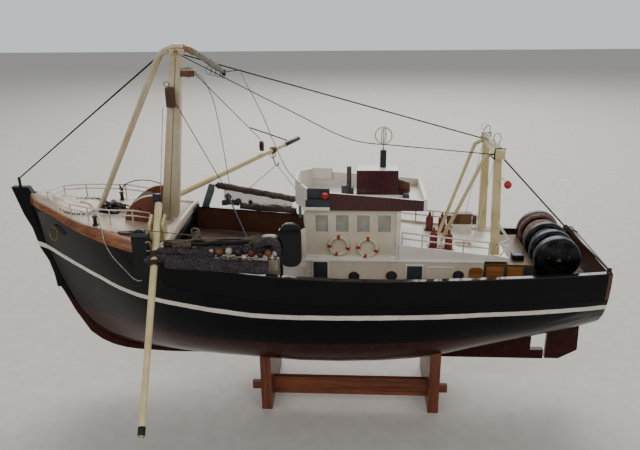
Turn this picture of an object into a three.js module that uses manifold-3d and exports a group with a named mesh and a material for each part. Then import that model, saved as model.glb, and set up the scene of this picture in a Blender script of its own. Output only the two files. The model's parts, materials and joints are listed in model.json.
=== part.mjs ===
// Wooden scale model of a beam trawler on its cradle.
// Millimetres, +Z up, +X towards the stern, +Y to starboard.
// Lengths along the boat are measured from amidships; the whole model is then set
// so that the origin is the centre of the underside of the forward cradle board.

import * as THREE from 'three';
import { mergeVertices } from 'three/addons/utils/BufferGeometryUtils.js';
import Module from 'manifold-3d';

const wasm = await Module();
wasm.setup();

// Driving dimensions
const GAP = 0.3;                    // between pieces that touch
const FORE_BOARD_X = -39;           // middle of the forward cradle board, from amidships
const AFT_BOARD_X = 151;
const BOARD_THICK = 12;
const BOARD_HALF_WIDTH = 50;
const KEEL_BOTTOM = 46;             // height of the keel's underside
const KEEL_HALF_THICK = 3.5;
const STERN_X = 320;
const DECK_DROP = 29;               // main deck below the bulwark's top
const BULWARK_THICK = 4;
const WELL_FORE_X = -136;           // after edge of the whaleback
const DECK_SHEET = 1.6;
const WHALEBACK_FORE_X = -301;
const MAST_FOOT = [-145.5, 0, 218.6];
const MAST_HEAD = [-121, 0, 397];
const HEEL_X = -148;                // boom heels, on the posts beside the mast
const HEEL_Y = 31;
const PORT_HEEL_Z = 243.5;
const STARBOARD_HEEL_Z = 233;
const PORT_TIP = [-112, -248, 117];
const STARBOARD_TIP = [-21, 235, 253.5];
const HOUSE_FORE_X = 9;
const WHEELHOUSE_AFT_X = 107;
const HOUSE_AFT_X = 222;
const HOUSE_HALF_WIDTH = 44;
const HOUSE_TOP = 186;
const WHEELHOUSE_HALF_WIDTH = 38;
const WHEELHOUSE_TOP = 241;
const WALL = 2.4;
const DRUM_AXIS = [271.4, 0, 190];
const DRUM_FLANGE_R = 23.7;
const RUDDER_AXIS_X = 287;

// Hull stations: x, keel line z, bilge control y and z, sheer half-breadth, sheer z
const STATIONS = [
  { x: -301, z0: 214, by: 5, bz: 222, b: 7, zs: 234.5 },
  { x: -291, z0: 176, by: 7, bz: 206, b: 15, zs: 232.5 },
  { x: -280, z0: 138, by: 9, bz: 184, b: 21.5, zs: 230 },
  { x: -266, z0: 102, by: 14, bz: 160, b: 29, zs: 226.5 },
  { x: -248, z0: 76, by: 22, bz: 142, b: 39, zs: 220.5 },
  { x: -226, z0: 62, by: 34, bz: 124, b: 51, zs: 215 },
  { x: -200, z0: 55, by: 48, bz: 106, b: 63.5, zs: 210.5 },
  { x: -170, z0: 52, by: 64, bz: 90, b: 75.5, zs: 207.2 },
  { x: -136, z0: 50, by: 79, bz: 80, b: 84, zs: 202.2 },
  { x: -90, z0: 50, by: 90, bz: 74, b: 91.5, zs: 196.2 },
  { x: -45, z0: 50, by: 95, bz: 69, b: 95.2, zs: 191.6 },
  { x: 0, z0: 50, by: 97, bz: 61, b: 95.8, zs: 188 },
  { x: 45, z0: 50, by: 96, bz: 60, b: 93.6, zs: 185 },
  { x: 90, z0: 50, by: 92.5, bz: 63, b: 89.2, zs: 182.7 },
  { x: 128, z0: 52, by: 89, bz: 68, b: 84.8, zs: 181.4 },
  { x: 166, z0: 58, by: 85, bz: 78, b: 80, zs: 180.6 },
  { x: 205, z0: 66, by: 80, bz: 90, b: 75.8, zs: 180.6 },
  { x: 250, z0: 79, by: 77, bz: 98, b: 72, zs: 181.3 },
  { x: 290, z0: 89, by: 74.5, bz: 108, b: 69.3, zs: 183 },
  { x: STERN_X, z0: 102, by: 72, bz: 114, b: 67.5, zs: 184.9 },
];
const SECTION_STEPS = 9;

// Outer edge of the stem, keel and skeg, from the stem head aft: x, z
const STEM_OUTER = [
  [-303, 253], [-322, 253], [-313, 221], [-306, 205], [-301, 181], [-293, 164], [-289.5, 148],
  [-288, 131], [-284, 131], [-281, 125], [-271, 100], [-256, 72], [-243, 61], [-230, 54.5],
  [-216, 50.5], [-202, 48.5], [-160, KEEL_BOTTOM], [281.5, KEEL_BOTTOM], [281.5, 57.5], [266, 57.5],
  [266, 90], [210, 90], [-200, 90], [-250, 120], [-270, 170], [-284, 220], [-296, 240],
];

// Materials: colour, roughness, metalness
const FINISH = {
  black: [0x16161a, 0.45, 0],
  bottom: [0x3a1614, 0.55, 0],
  bulwark: [0x2f1c17, 0.6, 0],
  deck: [0x8d745a, 0.65, 0],
  varnish: [0x9a5f36, 0.35, 0],
  cream: [0xd8cda2, 0.5, 0],
  white: [0xe4e0d6, 0.5, 0],
  maroon: [0x4a1a1c, 0.45, 0],
  terracotta: [0x8c4a2c, 0.6, 0],
  navy: [0x23243c, 0.5, 0],
  wire: [0x6f6a66, 0.4, 0.7],
  steel: [0x2a2b30, 0.4, 0.6],
  shoe: [0x66747c, 0.4, 0.5],
  net: [0x4a4248, 0.9, 0],
  cord: [0x8f877c, 0.9, 0],
  bottle: [0x7a2a20, 0.5, 0],
  cradle: [0x6f3b22, 0.55, 0],
};

// Solids

function mesh(positions, indices) {
  // The faces are turned outwards where the signed volume comes out negative
  let volume = 0;
  const a = new THREE.Vector3();
  const b = new THREE.Vector3();
  const c = new THREE.Vector3();
  for (let i = 0; i < indices.length; i += 3) {
    a.fromArray(positions, 3 * indices[i]);
    b.fromArray(positions, 3 * indices[i + 1]);
    c.fromArray(positions, 3 * indices[i + 2]);
    volume += a.dot(b.cross(c));
  }
  const turned = volume < 0 ? [...indices].reverse() : indices;
  const geometry = new THREE.BufferGeometry();
  geometry.setAttribute('position', new THREE.Float32BufferAttribute(positions, 3));
  geometry.setIndex(turned);
  return geometry;
}

function skin(rings, flat) {
  // Rings of as many points each, joined in order and closed by their two end faces
  const count = rings[0].length;
  const positions = rings.flat(2);
  const indices = [];
  for (let r = 0; r + 1 < rings.length; r += 1) {
    for (let i = 0; i < count; i += 1) {
      const j = (i + 1) % count;
      const p = r * count;
      const q = p + count;
      indices.push(p + i, q + i, q + j, p + i, q + j, p + j);
    }
  }
  const last = (rings.length - 1) * count;
  for (const [u, v, w] of THREE.ShapeUtils.triangulateShape(rings[0].map(flat), [])) {
    indices.push(u, v, w);
    indices.push(last + u, last + w, last + v);
  }
  return windTogether(positions, indices, count, rings.length);
}

function windTogether(positions, indices, count, rings) {
  // The end faces are flipped as a pair where they disagree with the side faces
  const sides = 6 * count * (rings - 1);
  const edgeKey = (p, q) => `${p}:${q}`;
  const seen = new Set();
  for (let i = 0; i < sides; i += 3) {
    for (let k = 0; k < 3; k += 1) seen.add(edgeKey(indices[i + k], indices[i + (k + 1) % 3]));
  }
  let clash = false;
  for (let i = sides; i < indices.length && !clash; i += 3) {
    for (let k = 0; k < 3; k += 1) {
      if (seen.has(edgeKey(indices[i + k], indices[i + (k + 1) % 3]))) clash = true;
    }
  }
  if (clash) {
    for (let i = sides; i < indices.length; i += 3) {
      [indices[i + 1], indices[i + 2]] = [indices[i + 2], indices[i + 1]];
    }
  }
  return mesh(positions, indices);
}

const onYZ = (p) => new THREE.Vector2(p[1], p[2]);
const onXZ = (p) => new THREE.Vector2(p[0], p[2]);
const onXY = (p) => new THREE.Vector2(p[0], p[1]);

function plateXZ(outline, y0, y1) {
  return skin([y0, y1].map((y) => outline.map(([x, z]) => [x, y, z])), onXZ);
}

function plateYZ(outline, x0, x1) {
  return skin([x0, x1].map((x) => outline.map(([y, z]) => [x, y, z])), onYZ);
}

function plateXY(outline, z0, z1) {
  return skin([z0, z1].map((z) => outline.map(([x, y]) => [x, y, z])), onXY);
}

function box(x0, x1, y0, y1, z0, z1) {
  return plateXY([[x0, y0], [x1, y0], [x1, y1], [x0, y1]], z0, z1);
}

function bar(from, to, r0, r1 = r0, sides = 8) {
  // A straight round bar, tapered from r0 to r1
  const a = new THREE.Vector3(...from);
  const b = new THREE.Vector3(...to);
  const geometry = new THREE.CylinderGeometry(r1, r0, a.distanceTo(b), sides);
  geometry.translate(0, a.distanceTo(b) / 2, 0);
  const along = b.clone().sub(a).normalize();
  const turn = new THREE.Quaternion().setFromUnitVectors(new THREE.Vector3(0, 1, 0), along);
  return geometry.applyQuaternion(turn).translate(a.x, a.y, a.z);
}

function beam(from, to, wide, deep, wideEnd = wide, deepEnd = deep) {
  // A straight square-edged beam; wide runs along X and deep along Y
  const ring = ([x, y, z], w, d) => [
    [x - w / 2, y - d / 2, z], [x + w / 2, y - d / 2, z], [x + w / 2, y + d / 2, z], [x - w / 2, y + d / 2, z],
  ];
  return skin([ring(from, wide, deep), ring(to, wideEnd, deepEnd)], onXY);
}

function tube(points, radius, sides, steps) {
  const curve = new THREE.CatmullRomCurve3(points.map((p) => new THREE.Vector3(...p)), false, 'centripetal');
  const circle = new THREE.Shape();
  for (let i = 0; i < sides; i += 1) {
    const turn = (2 * Math.PI * i) / sides;
    const place = [radius * Math.cos(turn), radius * Math.sin(turn)];
    if (i === 0) circle.moveTo(...place);
    else circle.lineTo(...place);
  }
  circle.closePath();
  return new THREE.ExtrudeGeometry(circle, { steps, bevelEnabled: false, extrudePath: curve });
}

function turnedY(profile, [x, y, z], sides) {
  // A turned piece on an athwartships axis; profile rows are distance along it and radius
  const points = profile.map(([along, radius]) => new THREE.Vector2(radius, along));
  return new THREE.LatheGeometry(points, sides).translate(x, y, z);
}

function turnedZ(profile, [x, y, z], sides) {
  // The same on an upright axis
  return turnedY(profile, [0, 0, 0], sides).rotateX(Math.PI / 2).translate(x, y, z);
}

// Booleans

function stripped(geometry) {
  // The bare positions, with shared vertices merged
  const bare = geometry.clone();
  for (const name of Object.keys(bare.attributes)) {
    if (name !== 'position') bare.deleteAttribute(name);
  }
  return mergeVertices(bare, 1e-4);
}

function solid(geometry) {
  const merged = stripped(geometry);
  return new wasm.Manifold(new wasm.Mesh({
    numProp: 3,
    vertProperties: new Float32Array(merged.attributes.position.array),
    triVerts: new Uint32Array(merged.index.array),
  }));
}

function shape(manifold) {
  const result = manifold.getMesh();
  const geometry = new THREE.BufferGeometry();
  geometry.setAttribute('position', new THREE.Float32BufferAttribute(result.vertProperties, 3));
  geometry.setIndex([...result.triVerts]);
  return geometry;
}

const join = (...pieces) => shape(pieces.map(solid).reduce((a, b) => a.add(b)));
const cut = (piece, ...tools) => shape(tools.map(solid).reduce((a, b) => a.subtract(b), solid(piece)));
const common = (a, b) => shape(solid(a).intersect(solid(b)));

// The finished model is a group set so that the forward board's foot is the origin
const model = new THREE.Group();
model.position.x = -FORE_BOARD_X;

function add(name, geometry, finish) {
  const [color, roughness, metalness] = FINISH[finish];
  const piece = new THREE.Mesh(geometry, new THREE.MeshStandardMaterial({ color, roughness, metalness }));
  piece.name = name;
  model.add(piece);
}

function mirrorY(geometry) {
  const flipped = stripped(geometry);
  const position = flipped.attributes.position;
  for (let i = 0; i < position.count; i += 1) position.setY(i, -position.getY(i));
  flipped.setIndex([...flipped.index.array].reverse());
  return flipped;
}

function pair(name, geometry, finish) {
  // The port piece is given and the starboard one mirrors it
  add(`${name}_port`, geometry, finish);
  add(`${name}_starboard`, mirrorY(geometry), finish);
}

// Hull form

function station(x) {
  const after = STATIONS.findIndex((row) => row.x >= x);
  if (after <= 0) return STATIONS[after === 0 ? 0 : STATIONS.length - 1];
  const [a, b] = [STATIONS[after - 1], STATIONS[after]];
  const t = (x - a.x) / (b.x - a.x);
  const mix = (key) => a[key] + t * (b[key] - a[key]);
  return { x, z0: mix('z0'), by: mix('by'), bz: mix('bz'), b: mix('b'), zs: mix('zs') };
}

const sheer = (x) => station(x).zs;
const deckZ = (x) => sheer(x) - DECK_DROP;

function hullRing(row, grow) {
  // Half section as one curve from the keel to the sheer, mirrored to the other side
  const half = [];
  const y0 = KEEL_HALF_THICK;
  for (let i = 0; i <= SECTION_STEPS; i += 1) {
    const t = i / SECTION_STEPS;
    const [p, q, r] = [(1 - t) ** 2, 2 * t * (1 - t), t ** 2];
    half.push([p * y0 + q * row.by + r * row.b + grow, p * row.z0 + q * row.bz + r * row.zs - grow * (1 - t)]);
  }
  const port = half.map(([y, z]) => [row.x, -y, z]);
  const starboard = half.map(([y, z]) => [row.x, y, z]).reverse();
  return [...port, ...starboard];
}

function hullBody(grow = 0, inset = 0) {
  return skin(STATIONS.map((row) => hullRing(
    { ...row, by: row.by - inset, b: row.b - inset }, grow)), onYZ);
}

function aboveDeck(lift) {
  // Everything above the deck line, from the whaleback's after edge to beyond the stern
  const xs = STATIONS.map((row) => row.x).filter((x) => x > WELL_FORE_X);
  const low = [WELL_FORE_X, ...xs.slice(0, -1), STERN_X + 20].map((x) => [x, deckZ(Math.min(x, STERN_X)) + lift]);
  return plateXZ([...low, [STERN_X + 20, 300], [WELL_FORE_X, 300]], -120, 120);
}

const fullHull = hullBody();
const keelPlate = plateXZ(STEM_OUTER, -KEEL_HALF_THICK, KEEL_HALF_THICK);
const rudderBore = bar([RUDDER_AXIS_X, 0, 70], [RUDDER_AXIS_X, 0, 104], 3.2, 3.2, 12);
add('hull', cut(fullHull, aboveDeck(0), rudderBore), 'black');
add('stem_keel', cut(keelPlate, hullBody(GAP)), 'black');

// Bulwarks round the well: side walls, and the stern wall between them
const wellOuter = common(fullHull, aboveDeck(GAP));
const wellWalls = cut(wellOuter, hullBody(0, BULWARK_THICK));
const SIDE_AFT_X = STERN_X - BULWARK_THICK - GAP;
const fromSide = box(WELL_FORE_X + GAP, SIDE_AFT_X, -120, 0, 100, 300);
pair('bulwark', common(wellWalls, fromSide), 'bulwark');
add('bulwark_stern', common(wellOuter, box(STERN_X - BULWARK_THICK, STERN_X + 5, -120, 120, 100, 300)), 'bulwark');

// Main deck of planks, laid inside the bulwarks
function deckRing(x) {
  const y = station(x).b - BULWARK_THICK - 3;
  const z = deckZ(x) + GAP;
  return [[x, -y, z], [x, y, z], [x, y, z + DECK_SHEET], [x, -y, z + DECK_SHEET]];
}
const deckXs = [WELL_FORE_X + GAP, ...STATIONS.map((row) => row.x).filter((x) => x > WELL_FORE_X && x < 310),
  STERN_X - BULWARK_THICK - GAP];
add('main_deck', skin(deckXs.map(deckRing), onYZ), 'deck');
const deckTop = (x) => deckZ(x) + GAP + DECK_SHEET;

// Whaleback: rounded edge and a slight crown. Rows: distance in from the edge, height over the
// sheer. Near the stem, where the half-breadth is under NARROW_BREADTH, the edge narrows with it
const CROWN = 12.5;
const NARROW_BREADTH = 24;
const WHALEBACK_EDGE = [[0, GAP], [0.3, 3], [2.2, 6], [5.5, 8.3], [11, 9.9]];
const EDGE_TOP = 9.9;
function whalebackRing(row, lift = 0, sink = 0) {
  const fit = Math.min(1, row.b / NARROW_BREADTH);
  const side = WHALEBACK_EDGE.map(([inward, up]) => [row.b - inward * fit, row.zs + up + lift]);
  side[0][1] -= sink;
  const top = [[row.b * 0.5, row.zs + EDGE_TOP + (CROWN - EDGE_TOP) * 0.75 + lift], [0, row.zs + CROWN + lift]];
  const half = [...side, ...top];
  const port = half.map(([y, z]) => [row.x, -y, z]);
  const starboard = half.slice(0, -1).map(([y, z]) => [row.x, y, z]).reverse();
  return [...port, ...starboard];
}
const whalebackRows = STATIONS.filter((row) => row.x <= WELL_FORE_X && row.x >= WHALEBACK_FORE_X);
const whalebackTop = (x) => sheer(x) + CROWN;
add('whaleback', cut(skin(whalebackRows.map((row) => whalebackRing(row)), onYZ),
  box(-330, -296, -KEEL_HALF_THICK - GAP, KEEL_HALF_THICK + GAP, 190, 300),
  plateXZ(STEM_OUTER, -KEEL_HALF_THICK - GAP, KEEL_HALF_THICK + GAP)), 'varnish');

// Bow rails, from a span across the bow to the boom posts. Rows: a post's place, and how high its
// two wires are. The two sides are bent by hand and differ
const RAIL_R = 0.8;
const PORT_RAIL = [
  { x: -274, y: -19, low: 246.4, top: 253.4 },
  { x: -263, y: -26.5, low: 243, top: 250.8 },
  { x: -245, y: -31.5, low: 237.4, top: 243 },
  { x: -223, y: -39.5, low: 236.6, top: 241.8 },
  { x: -199.5, y: -39.5, low: 234, top: 239.4 },
  { x: -176, y: -36, low: 232.2, top: 238 },
  { x: -160.5, y: -25.5, low: 226, top: 231.6 },
];
const STARBOARD_RAIL = [
  { x: -270, y: 14, low: 245.2, top: 249.7 },
  { x: -250, y: 27, low: 243, top: 247.5 },
  { x: -209, y: 41, low: 237.6, top: 243.2 },
  { x: -176, y: 36, low: 234.4, top: 239.8 },
  { x: -160.5, y: 25.5, low: 230.4, top: 235.5 },
];
const WIRES = ['low', 'top'];
function whalebackAt(x, y) {
  // Height of the whaleback's surface, between two points of its ring
  const ring = whalebackRing(station(x));
  const port = -Math.abs(y);
  const i = ring.findIndex((point) => point[1] >= port);
  const [a, b] = [ring[i - 1], ring[i]];
  return a[2] + ((port - a[1]) / (b[1] - a[1])) * (b[2] - a[2]);
}
const railWire = (from, to, wire) => bar([from.x, from.y, from[wire]], [to.x, to.y, to[wire]], RAIL_R, RAIL_R, 6);
function bowRail(rows) {
  const posts = rows.map(({ x, y, top }) => bar([x, y, whalebackAt(x, y) + 3 * GAP], [x, y, top], RAIL_R, RAIL_R, 6));
  return join(...posts, ...WIRES.flatMap((wire) => rows.slice(1).map((to, i) => railWire(rows[i], to, wire))));
}
const bowSpan = { ...STARBOARD_RAIL[0], y: STARBOARD_RAIL[0].y - RAIL_R - 2 * GAP };
add('bow_rail_port', join(bowRail(PORT_RAIL), ...WIRES.map((wire) => railWire(PORT_RAIL[0], bowSpan, wire))), 'wire');
add('bow_rail_starboard', bowRail(STARBOARD_RAIL), 'wire');

// Mast with its cap and two rigging blocks, and the two legs that stand forward of it
const mastTop = [MAST_HEAD[0] - 1, 0, 406];
const mastCap = box(-129, -113.5, -8, 8, 396, 401);
const aftBlock = box(-121, -105.5, -3, 3, 373.5, 380.5);
const portBlock = box(-134.5, -127.5, -11.5, -4, 343, 362.5);
add('mast', join(beam(MAST_FOOT, mastTop, 18, 12.5, 10.5, 11), mastCap, aftBlock, portBlock), 'cream');
// A leg is a rod whose head is bent aft to the cap's fore face
const LEG_FOOT_X = -225;
const LEG_R = 2.1;
const mastLeg = join(
  bar([LEG_FOOT_X, -4, whalebackTop(LEG_FOOT_X) + 4 * GAP], [-144.5, -6.6, 388], LEG_R),
  bar([-145, -6.6, 387], [-139.5, -6.3, 395.6], LEG_R),
  bar([-140, -6.3, 395.2], [-130.2, -5.6, 399], LEG_R));
pair('mast_leg', mastLeg, 'cream');

// Stays
const STEM_EYE = [-313, 0, 262];
const forestay = (side) => bar(STEM_EYE, [-128.7, side * 2.4, 403.9], 0.8, 0.8, 6);
add('forestays', join(forestay(-1), forestay(1), bar([-313, 0, 253 + GAP], [-313, 0, 263.5], 1.6, 1.6, 8)), 'steel');
add('aft_stay', bar([-117.2, 4, 394.4], [198.8, 32.6, 300.8], 0.7, 0.7, 6), 'steel');

// Winch quadrants each side of a small drum, ahead of the mast
const QUADRANT = [-157, 215];
const QUADRANT_R = 34;
const DRUM_HUB = [-174, 0, 233];
function quadrantOutline() {
  const [cx, cz] = QUADRANT;
  const outline = [[cx, cz - 6]];
  for (let i = 0; i <= 10; i += 1) {
    const turn = Math.PI / 2 + (Math.PI / 2) * (i / 10);
    outline.push([cx + QUADRANT_R * Math.cos(turn), cz + QUADRANT_R * Math.sin(turn)]);
  }
  outline.push([cx - QUADRANT_R, cz - 6]);
  return outline;
}
const underFittings = skin(whalebackRows.map((row) => whalebackRing(row, GAP, 60)), onYZ);
const winchBore = bar([DRUM_HUB[0], -40, DRUM_HUB[2]], [DRUM_HUB[0], 40, DRUM_HUB[2]], 3, 3, 12);
pair('winch_cheek', cut(plateXZ(quadrantOutline(), -21, -17.5), underFittings, winchBore), 'terracotta');
add('winch_drum', turnedY([[-22.5, 0], [-22.5, 2.5], [-16.5, 2.5], [-16.5, 9.5], [16.5, 9.5], [16.5, 2.5],
  [22.5, 2.5], [22.5, 0]], DRUM_HUB, 16), 'steel');

// Boom posts, the booms' heels and the rest block for the lowered port boom
pair('boom_post', cut(box(HEEL_X - 7.5, HEEL_X + 0.5, -26, -21.6, 205, 252), underFittings), 'navy');
const BOOM_R = [4.1, 2.7];
add('port_boom', bar([HEEL_X, -HEEL_Y, PORT_HEEL_Z], PORT_TIP, ...BOOM_R, 12), 'cream');
add('starboard_boom', bar([HEEL_X, HEEL_Y, STARBOARD_HEEL_Z], STARBOARD_TIP, ...BOOM_R, 12), 'cream');
const restBlock = plateYZ([[-59, 205], [-47, 205], [-47, 238], [-59, 231]], -152.6, -136.4);
const restSlot = plateYZ([[-62, 219.8], [-44, 230.3], [-44, 250], [-62, 250]], -150.2, -138.8);
add('boom_rest', cut(restBlock, restSlot, underFittings), 'cream');

// Port trawl gear along the bulwark. A shoe is a sole that faces outboard, its toe curled
// inboard at the top, on a web that stands athwartships
const SOLE_THICK = 2.6;
function sole({ x0, x1, y, z0, z1, toe }) {
  const outer = [[y, z0]];
  const inner = [[y + SOLE_THICK, z0]];
  for (let i = 0; i <= 6; i += 1) {
    const turn = Math.PI - (Math.PI / 2) * (i / 6);
    const [c, s] = [Math.cos(turn), Math.sin(turn)];
    outer.push([y + toe + toe * c, z1 - toe + toe * s]);
    inner.push([y + toe + (toe - SOLE_THICK) * c, z1 - toe + (toe - SOLE_THICK) * s]);
  }
  const strip = plateYZ([...outer, ...inner.reverse()], x0, x1);
  return common(strip, plateXZ(roundedOutline(x0, x1, z0, z1), y - 5, y + toe + 5));
}

function roundedOutline(x0, x1, z0, z1) {
  const r = (x1 - x0) * 0.42;
  const corners = [[x1 - r, z0 + r, -0.5], [x1 - r, z1 - r, 0], [x0 + r, z1 - r, 0.5], [x0 + r, z0 + r, 1]];
  return corners.flatMap(([x, z, quarter]) => [0, 1, 2, 3, 4].map((i) => {
    const turn = Math.PI * (quarter + i / 8);
    return [x + r * Math.cos(turn), z + r * Math.sin(turn)];
  }));
}
// The fore web's lower edge follows the whaleback's shoulder and stands on it
const foreWeb = plateYZ([[-84.5, 208.5], [-80.5, 209.5], [-79.5, 210.4], [-76, 212.9], [-72, 214.1], [-72, 229],
  [-84.5, 229]], -149.6, -147);
add('port_shoe_fore', join(sole({ x0: -162, x1: -146.8, y: -86, z0: 181, z1: 233.5, toe: 8 }), foreWeb), 'steel');
const aftWeb = box(-14.3, -11.7, -80.5, -74, deckTop(-14.3) + GAP, 234);
add('port_shoe_aft', join(sole({ x0: -14.3, x1: 8, y: -82, z0: 195.5, z1: 240, toe: 9 }), aftWeb), 'steel');
const portBeam = bar([-129, -86, 219.6], [-14.9, -77.5, 222.5], 2.8, 2.8, 10);
const crutchRest = sheer(-117) + 2 * GAP;
add('port_beam', join(portBeam, box(-117, -113.5, -86.2, -83.8, crutchRest, 219)), 'steel');
const PORT_NET = [[-126, -93, 205.2], [-95, -95, 204], [-60, -95, 201.8], [-24, -93.6, 199.4]];
add('port_net', tube(PORT_NET, 7.2, 10, 10), 'net');

// Starboard trawl gear on the far rail
const leaningPlate = [[-130.2, 203.2], [-128.5, 202], [-122, 201.2], [-113.8, 222], [-113.2, 230.6],
  [-119.6, 231.4]];
add('starboard_shoe_fore', plateXZ(leaningPlate, 82.6, 87.4), 'shoe');
add('starboard_shoe_aft', box(-9, -6, 78, 94, sheer(-9) + 2 * GAP, 216), 'shoe');
add('starboard_beam', bar([-112.4, 86, 228.8], [-10, 86, 210], 2.4, 2.4, 8), 'steel');
add('starboard_net', tube([[-84, 88, 201.5], [-60, 89, 198.6], [-12.4, 89, 194.2]], 4.2, 10, 8), 'net');

// Deckhouse: solid, its foot following the deck
const houseXs = [HOUSE_FORE_X, 45, 90, 128, 166, 196];
add('deckhouse', plateXZ([...houseXs.map((x) => [x, deckTop(x) + GAP]), [196, HOUSE_TOP], [HOUSE_FORE_X, HOUSE_TOP]],
  -HOUSE_HALF_WIDTH, HOUSE_HALF_WIDTH), 'white');
const LOCKER_TOP = 182;
add('stern_locker', plateXZ([[196 + GAP, deckTop(196) + GAP], [205, deckTop(205) + GAP], [248, deckTop(248) + GAP],
  [248, LOCKER_TOP], [196 + GAP, LOCKER_TOP]], -42, 42), 'varnish');

// Wheelhouse: four walls with their windows cut. Rows: window low and high edge along the wall
const WALL_FOOT = HOUSE_TOP + GAP;
const WINDOW_Z = [216.5, 235];
const SIDE_WINDOWS = [[19.5, 32.5], [41, 54], [63, 76], [85, 98]];
const FRONT_WINDOWS = [[-29, -14], [-7.5, 7.5], [14, 29]];
// Life rings hang under the windows. Rows: x, z
const LIFE_RINGS = [[43.8, 201.3], [74.1, 199.4]];
const RING_R = 9.8;
const RING_THICK_R = 1.8;
const lifeRing = ([x, z]) => new THREE.TorusGeometry(RING_R, RING_THICK_R, 8, 20).rotateX(Math.PI / 2)
  .translate(x, -WHEELHOUSE_HALF_WIDTH - 1.2, z);
const sideWall = cut(box(HOUSE_FORE_X, WHEELHOUSE_AFT_X, -WHEELHOUSE_HALF_WIDTH, -WHEELHOUSE_HALF_WIDTH + WALL,
  WALL_FOOT, WHEELHOUSE_TOP), ...SIDE_WINDOWS.map(([x0, x1]) => box(x0, x1, -50, -20, ...WINDOW_Z)));
pair('wheelhouse_side', join(sideWall, ...LIFE_RINGS.map(lifeRing)), 'white');
const endHalf = WHEELHOUSE_HALF_WIDTH - WALL - GAP;
const endWall = (x, windows) => cut(box(x, x + WALL, -endHalf, endHalf, WALL_FOOT, WHEELHOUSE_TOP),
  ...windows.map(([y0, y1]) => box(x - 5, x + 5 + WALL, y0, y1, ...WINDOW_Z)));
add('wheelhouse_front', endWall(HOUSE_FORE_X, FRONT_WINDOWS), 'white');
add('wheelhouse_back', endWall(WHEELHOUSE_AFT_X - WALL, [[-27, -15], [15, 27]]), 'white');

// Roof tray: a floor inside raised boards that slope down aft
const trayOutline = (inset) => [
  [134 - inset, -41 + inset], [11 + inset * 0.7, -41 + inset], [-3 + inset, -18 + inset * 0.3],
  [-3 + inset, 18 - inset * 0.3], [11 + inset * 0.7, 41 - inset], [134 - inset, 41 - inset],
];
const TRAY_FLOOR = WHEELHOUSE_TOP + GAP + 3;
const trayTop = plateXZ([[-10, 268.5], [35, 260.2], [140, 252], [140, 300], [-10, 300]], -60, 60);
// A notch in each side board, for the side light
const lightNotch = (y0, y1) => box(11.5, 34.5, y0, y1, 252.5, 275);
add('roof_tray', cut(plateXY(trayOutline(0), WHEELHOUSE_TOP + GAP, 275), plateXY(trayOutline(2.4), TRAY_FLOOR, 290),
  trayTop, lightNotch(-45, -36), lightNotch(36, 45)), 'maroon');
add('roof_box', join(box(62, 117, -16, 10, TRAY_FLOOR + GAP, 255), box(62, 106, -15, 9, 254, 277)), 'maroon');
add('roof_post', join(box(46, 59, -15, -3, TRAY_FLOOR + GAP, 258), bar([54, -9, 256], [54, -9, 280], 2.6, 2.6, 10)), 'steel');

// Aerial on the roof box
const AERIAL_X = 90;
function aerialRing(turn) {
  // A hoop that stands upright, turned about the aerial's rod
  const geometry = new THREE.TorusGeometry(8.8, 0.7, 6, 20);
  return geometry.rotateX(Math.PI / 2).rotateZ(turn).translate(AERIAL_X, 0, 311);
}
add('aerial', join(box(AERIAL_X - 3.2, AERIAL_X + 3.2, -3.2, 3.2, 277 + GAP, 296),
  bar([AERIAL_X, 0, 295], [AERIAL_X, 0, 321], 0.8, 0.8, 8), aerialRing(-0.15), aerialRing(1.25)), 'navy');

// Boat deck abaft the wheelhouse, with a low coaming
const boatTop = (x) => 203.6 - ((x - 109) / 111) * 12.6;
const boatDeckBase = plateXZ([[WHEELHOUSE_AFT_X + GAP, HOUSE_TOP + GAP], [HOUSE_AFT_X, HOUSE_TOP + GAP],
  [HOUSE_AFT_X, boatTop(HOUSE_AFT_X)], [WHEELHOUSE_AFT_X + GAP, boatTop(WHEELHOUSE_AFT_X)]], -42, 42);
const boatWell = plateXZ([[100, boatTop(100) - 3], [230, boatTop(230) - 3], [230, 260], [100, 260]], -40, 40);
const boatFloor = (x) => boatTop(x) - 3;
const crate = box(173.5, 193.5, 31, 38, boatFloor(190) - 1, 212.5);
add('boat_deck', join(cut(boatDeckBase, boatWell), crate), 'white');

// Gas bottles, two on a plank each side of the boat deck. The plank follows the deck's slope
const BOTTLE = [[0, 0], [0, 4.2], [13, 4.2], [16, 3.4], [17, 1.7], [19.5, 1.7], [19.5, 0]];
function bottlePair(y, x0, x1) {
  const plank = plateXZ([[x0 - 6, boatFloor(x0 - 6) + GAP], [x1 + 6, boatFloor(x1 + 6) + GAP],
    [x1 + 6, boatFloor(x1 + 6) + 1.8], [x0 - 6, boatFloor(x0 - 6) + 1.8]], y - 5, y + 5);
  return join(plank, ...[x0, x1].map((x) => turnedZ(BOTTLE, [x, y, boatFloor(x) + 0.8], 12)));
}
add('bottles_port', bottlePair(-29.5, 144, 160), 'bottle');
add('bottles_starboard', bottlePair(22.5, 145, 159), 'bottle');

// Boat deck rails
const BOAT_RAIL_XS = [110, 131, 151, 174, 200.8];
function boatRail() {
  const foot = (x, up) => [x, -41, boatTop(x) + up];
  const posts = BOAT_RAIL_XS.map((x) => bar(foot(x, GAP), foot(x, 14), RAIL_R, RAIL_R, 6));
  const wires = [7.5, 14].map((up) => bar(foot(110, up), foot(200.8, up), RAIL_R, RAIL_R, 6));
  return join(...posts, ...wires);
}
pair('boat_rail', boatRail(), 'wire');

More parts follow.
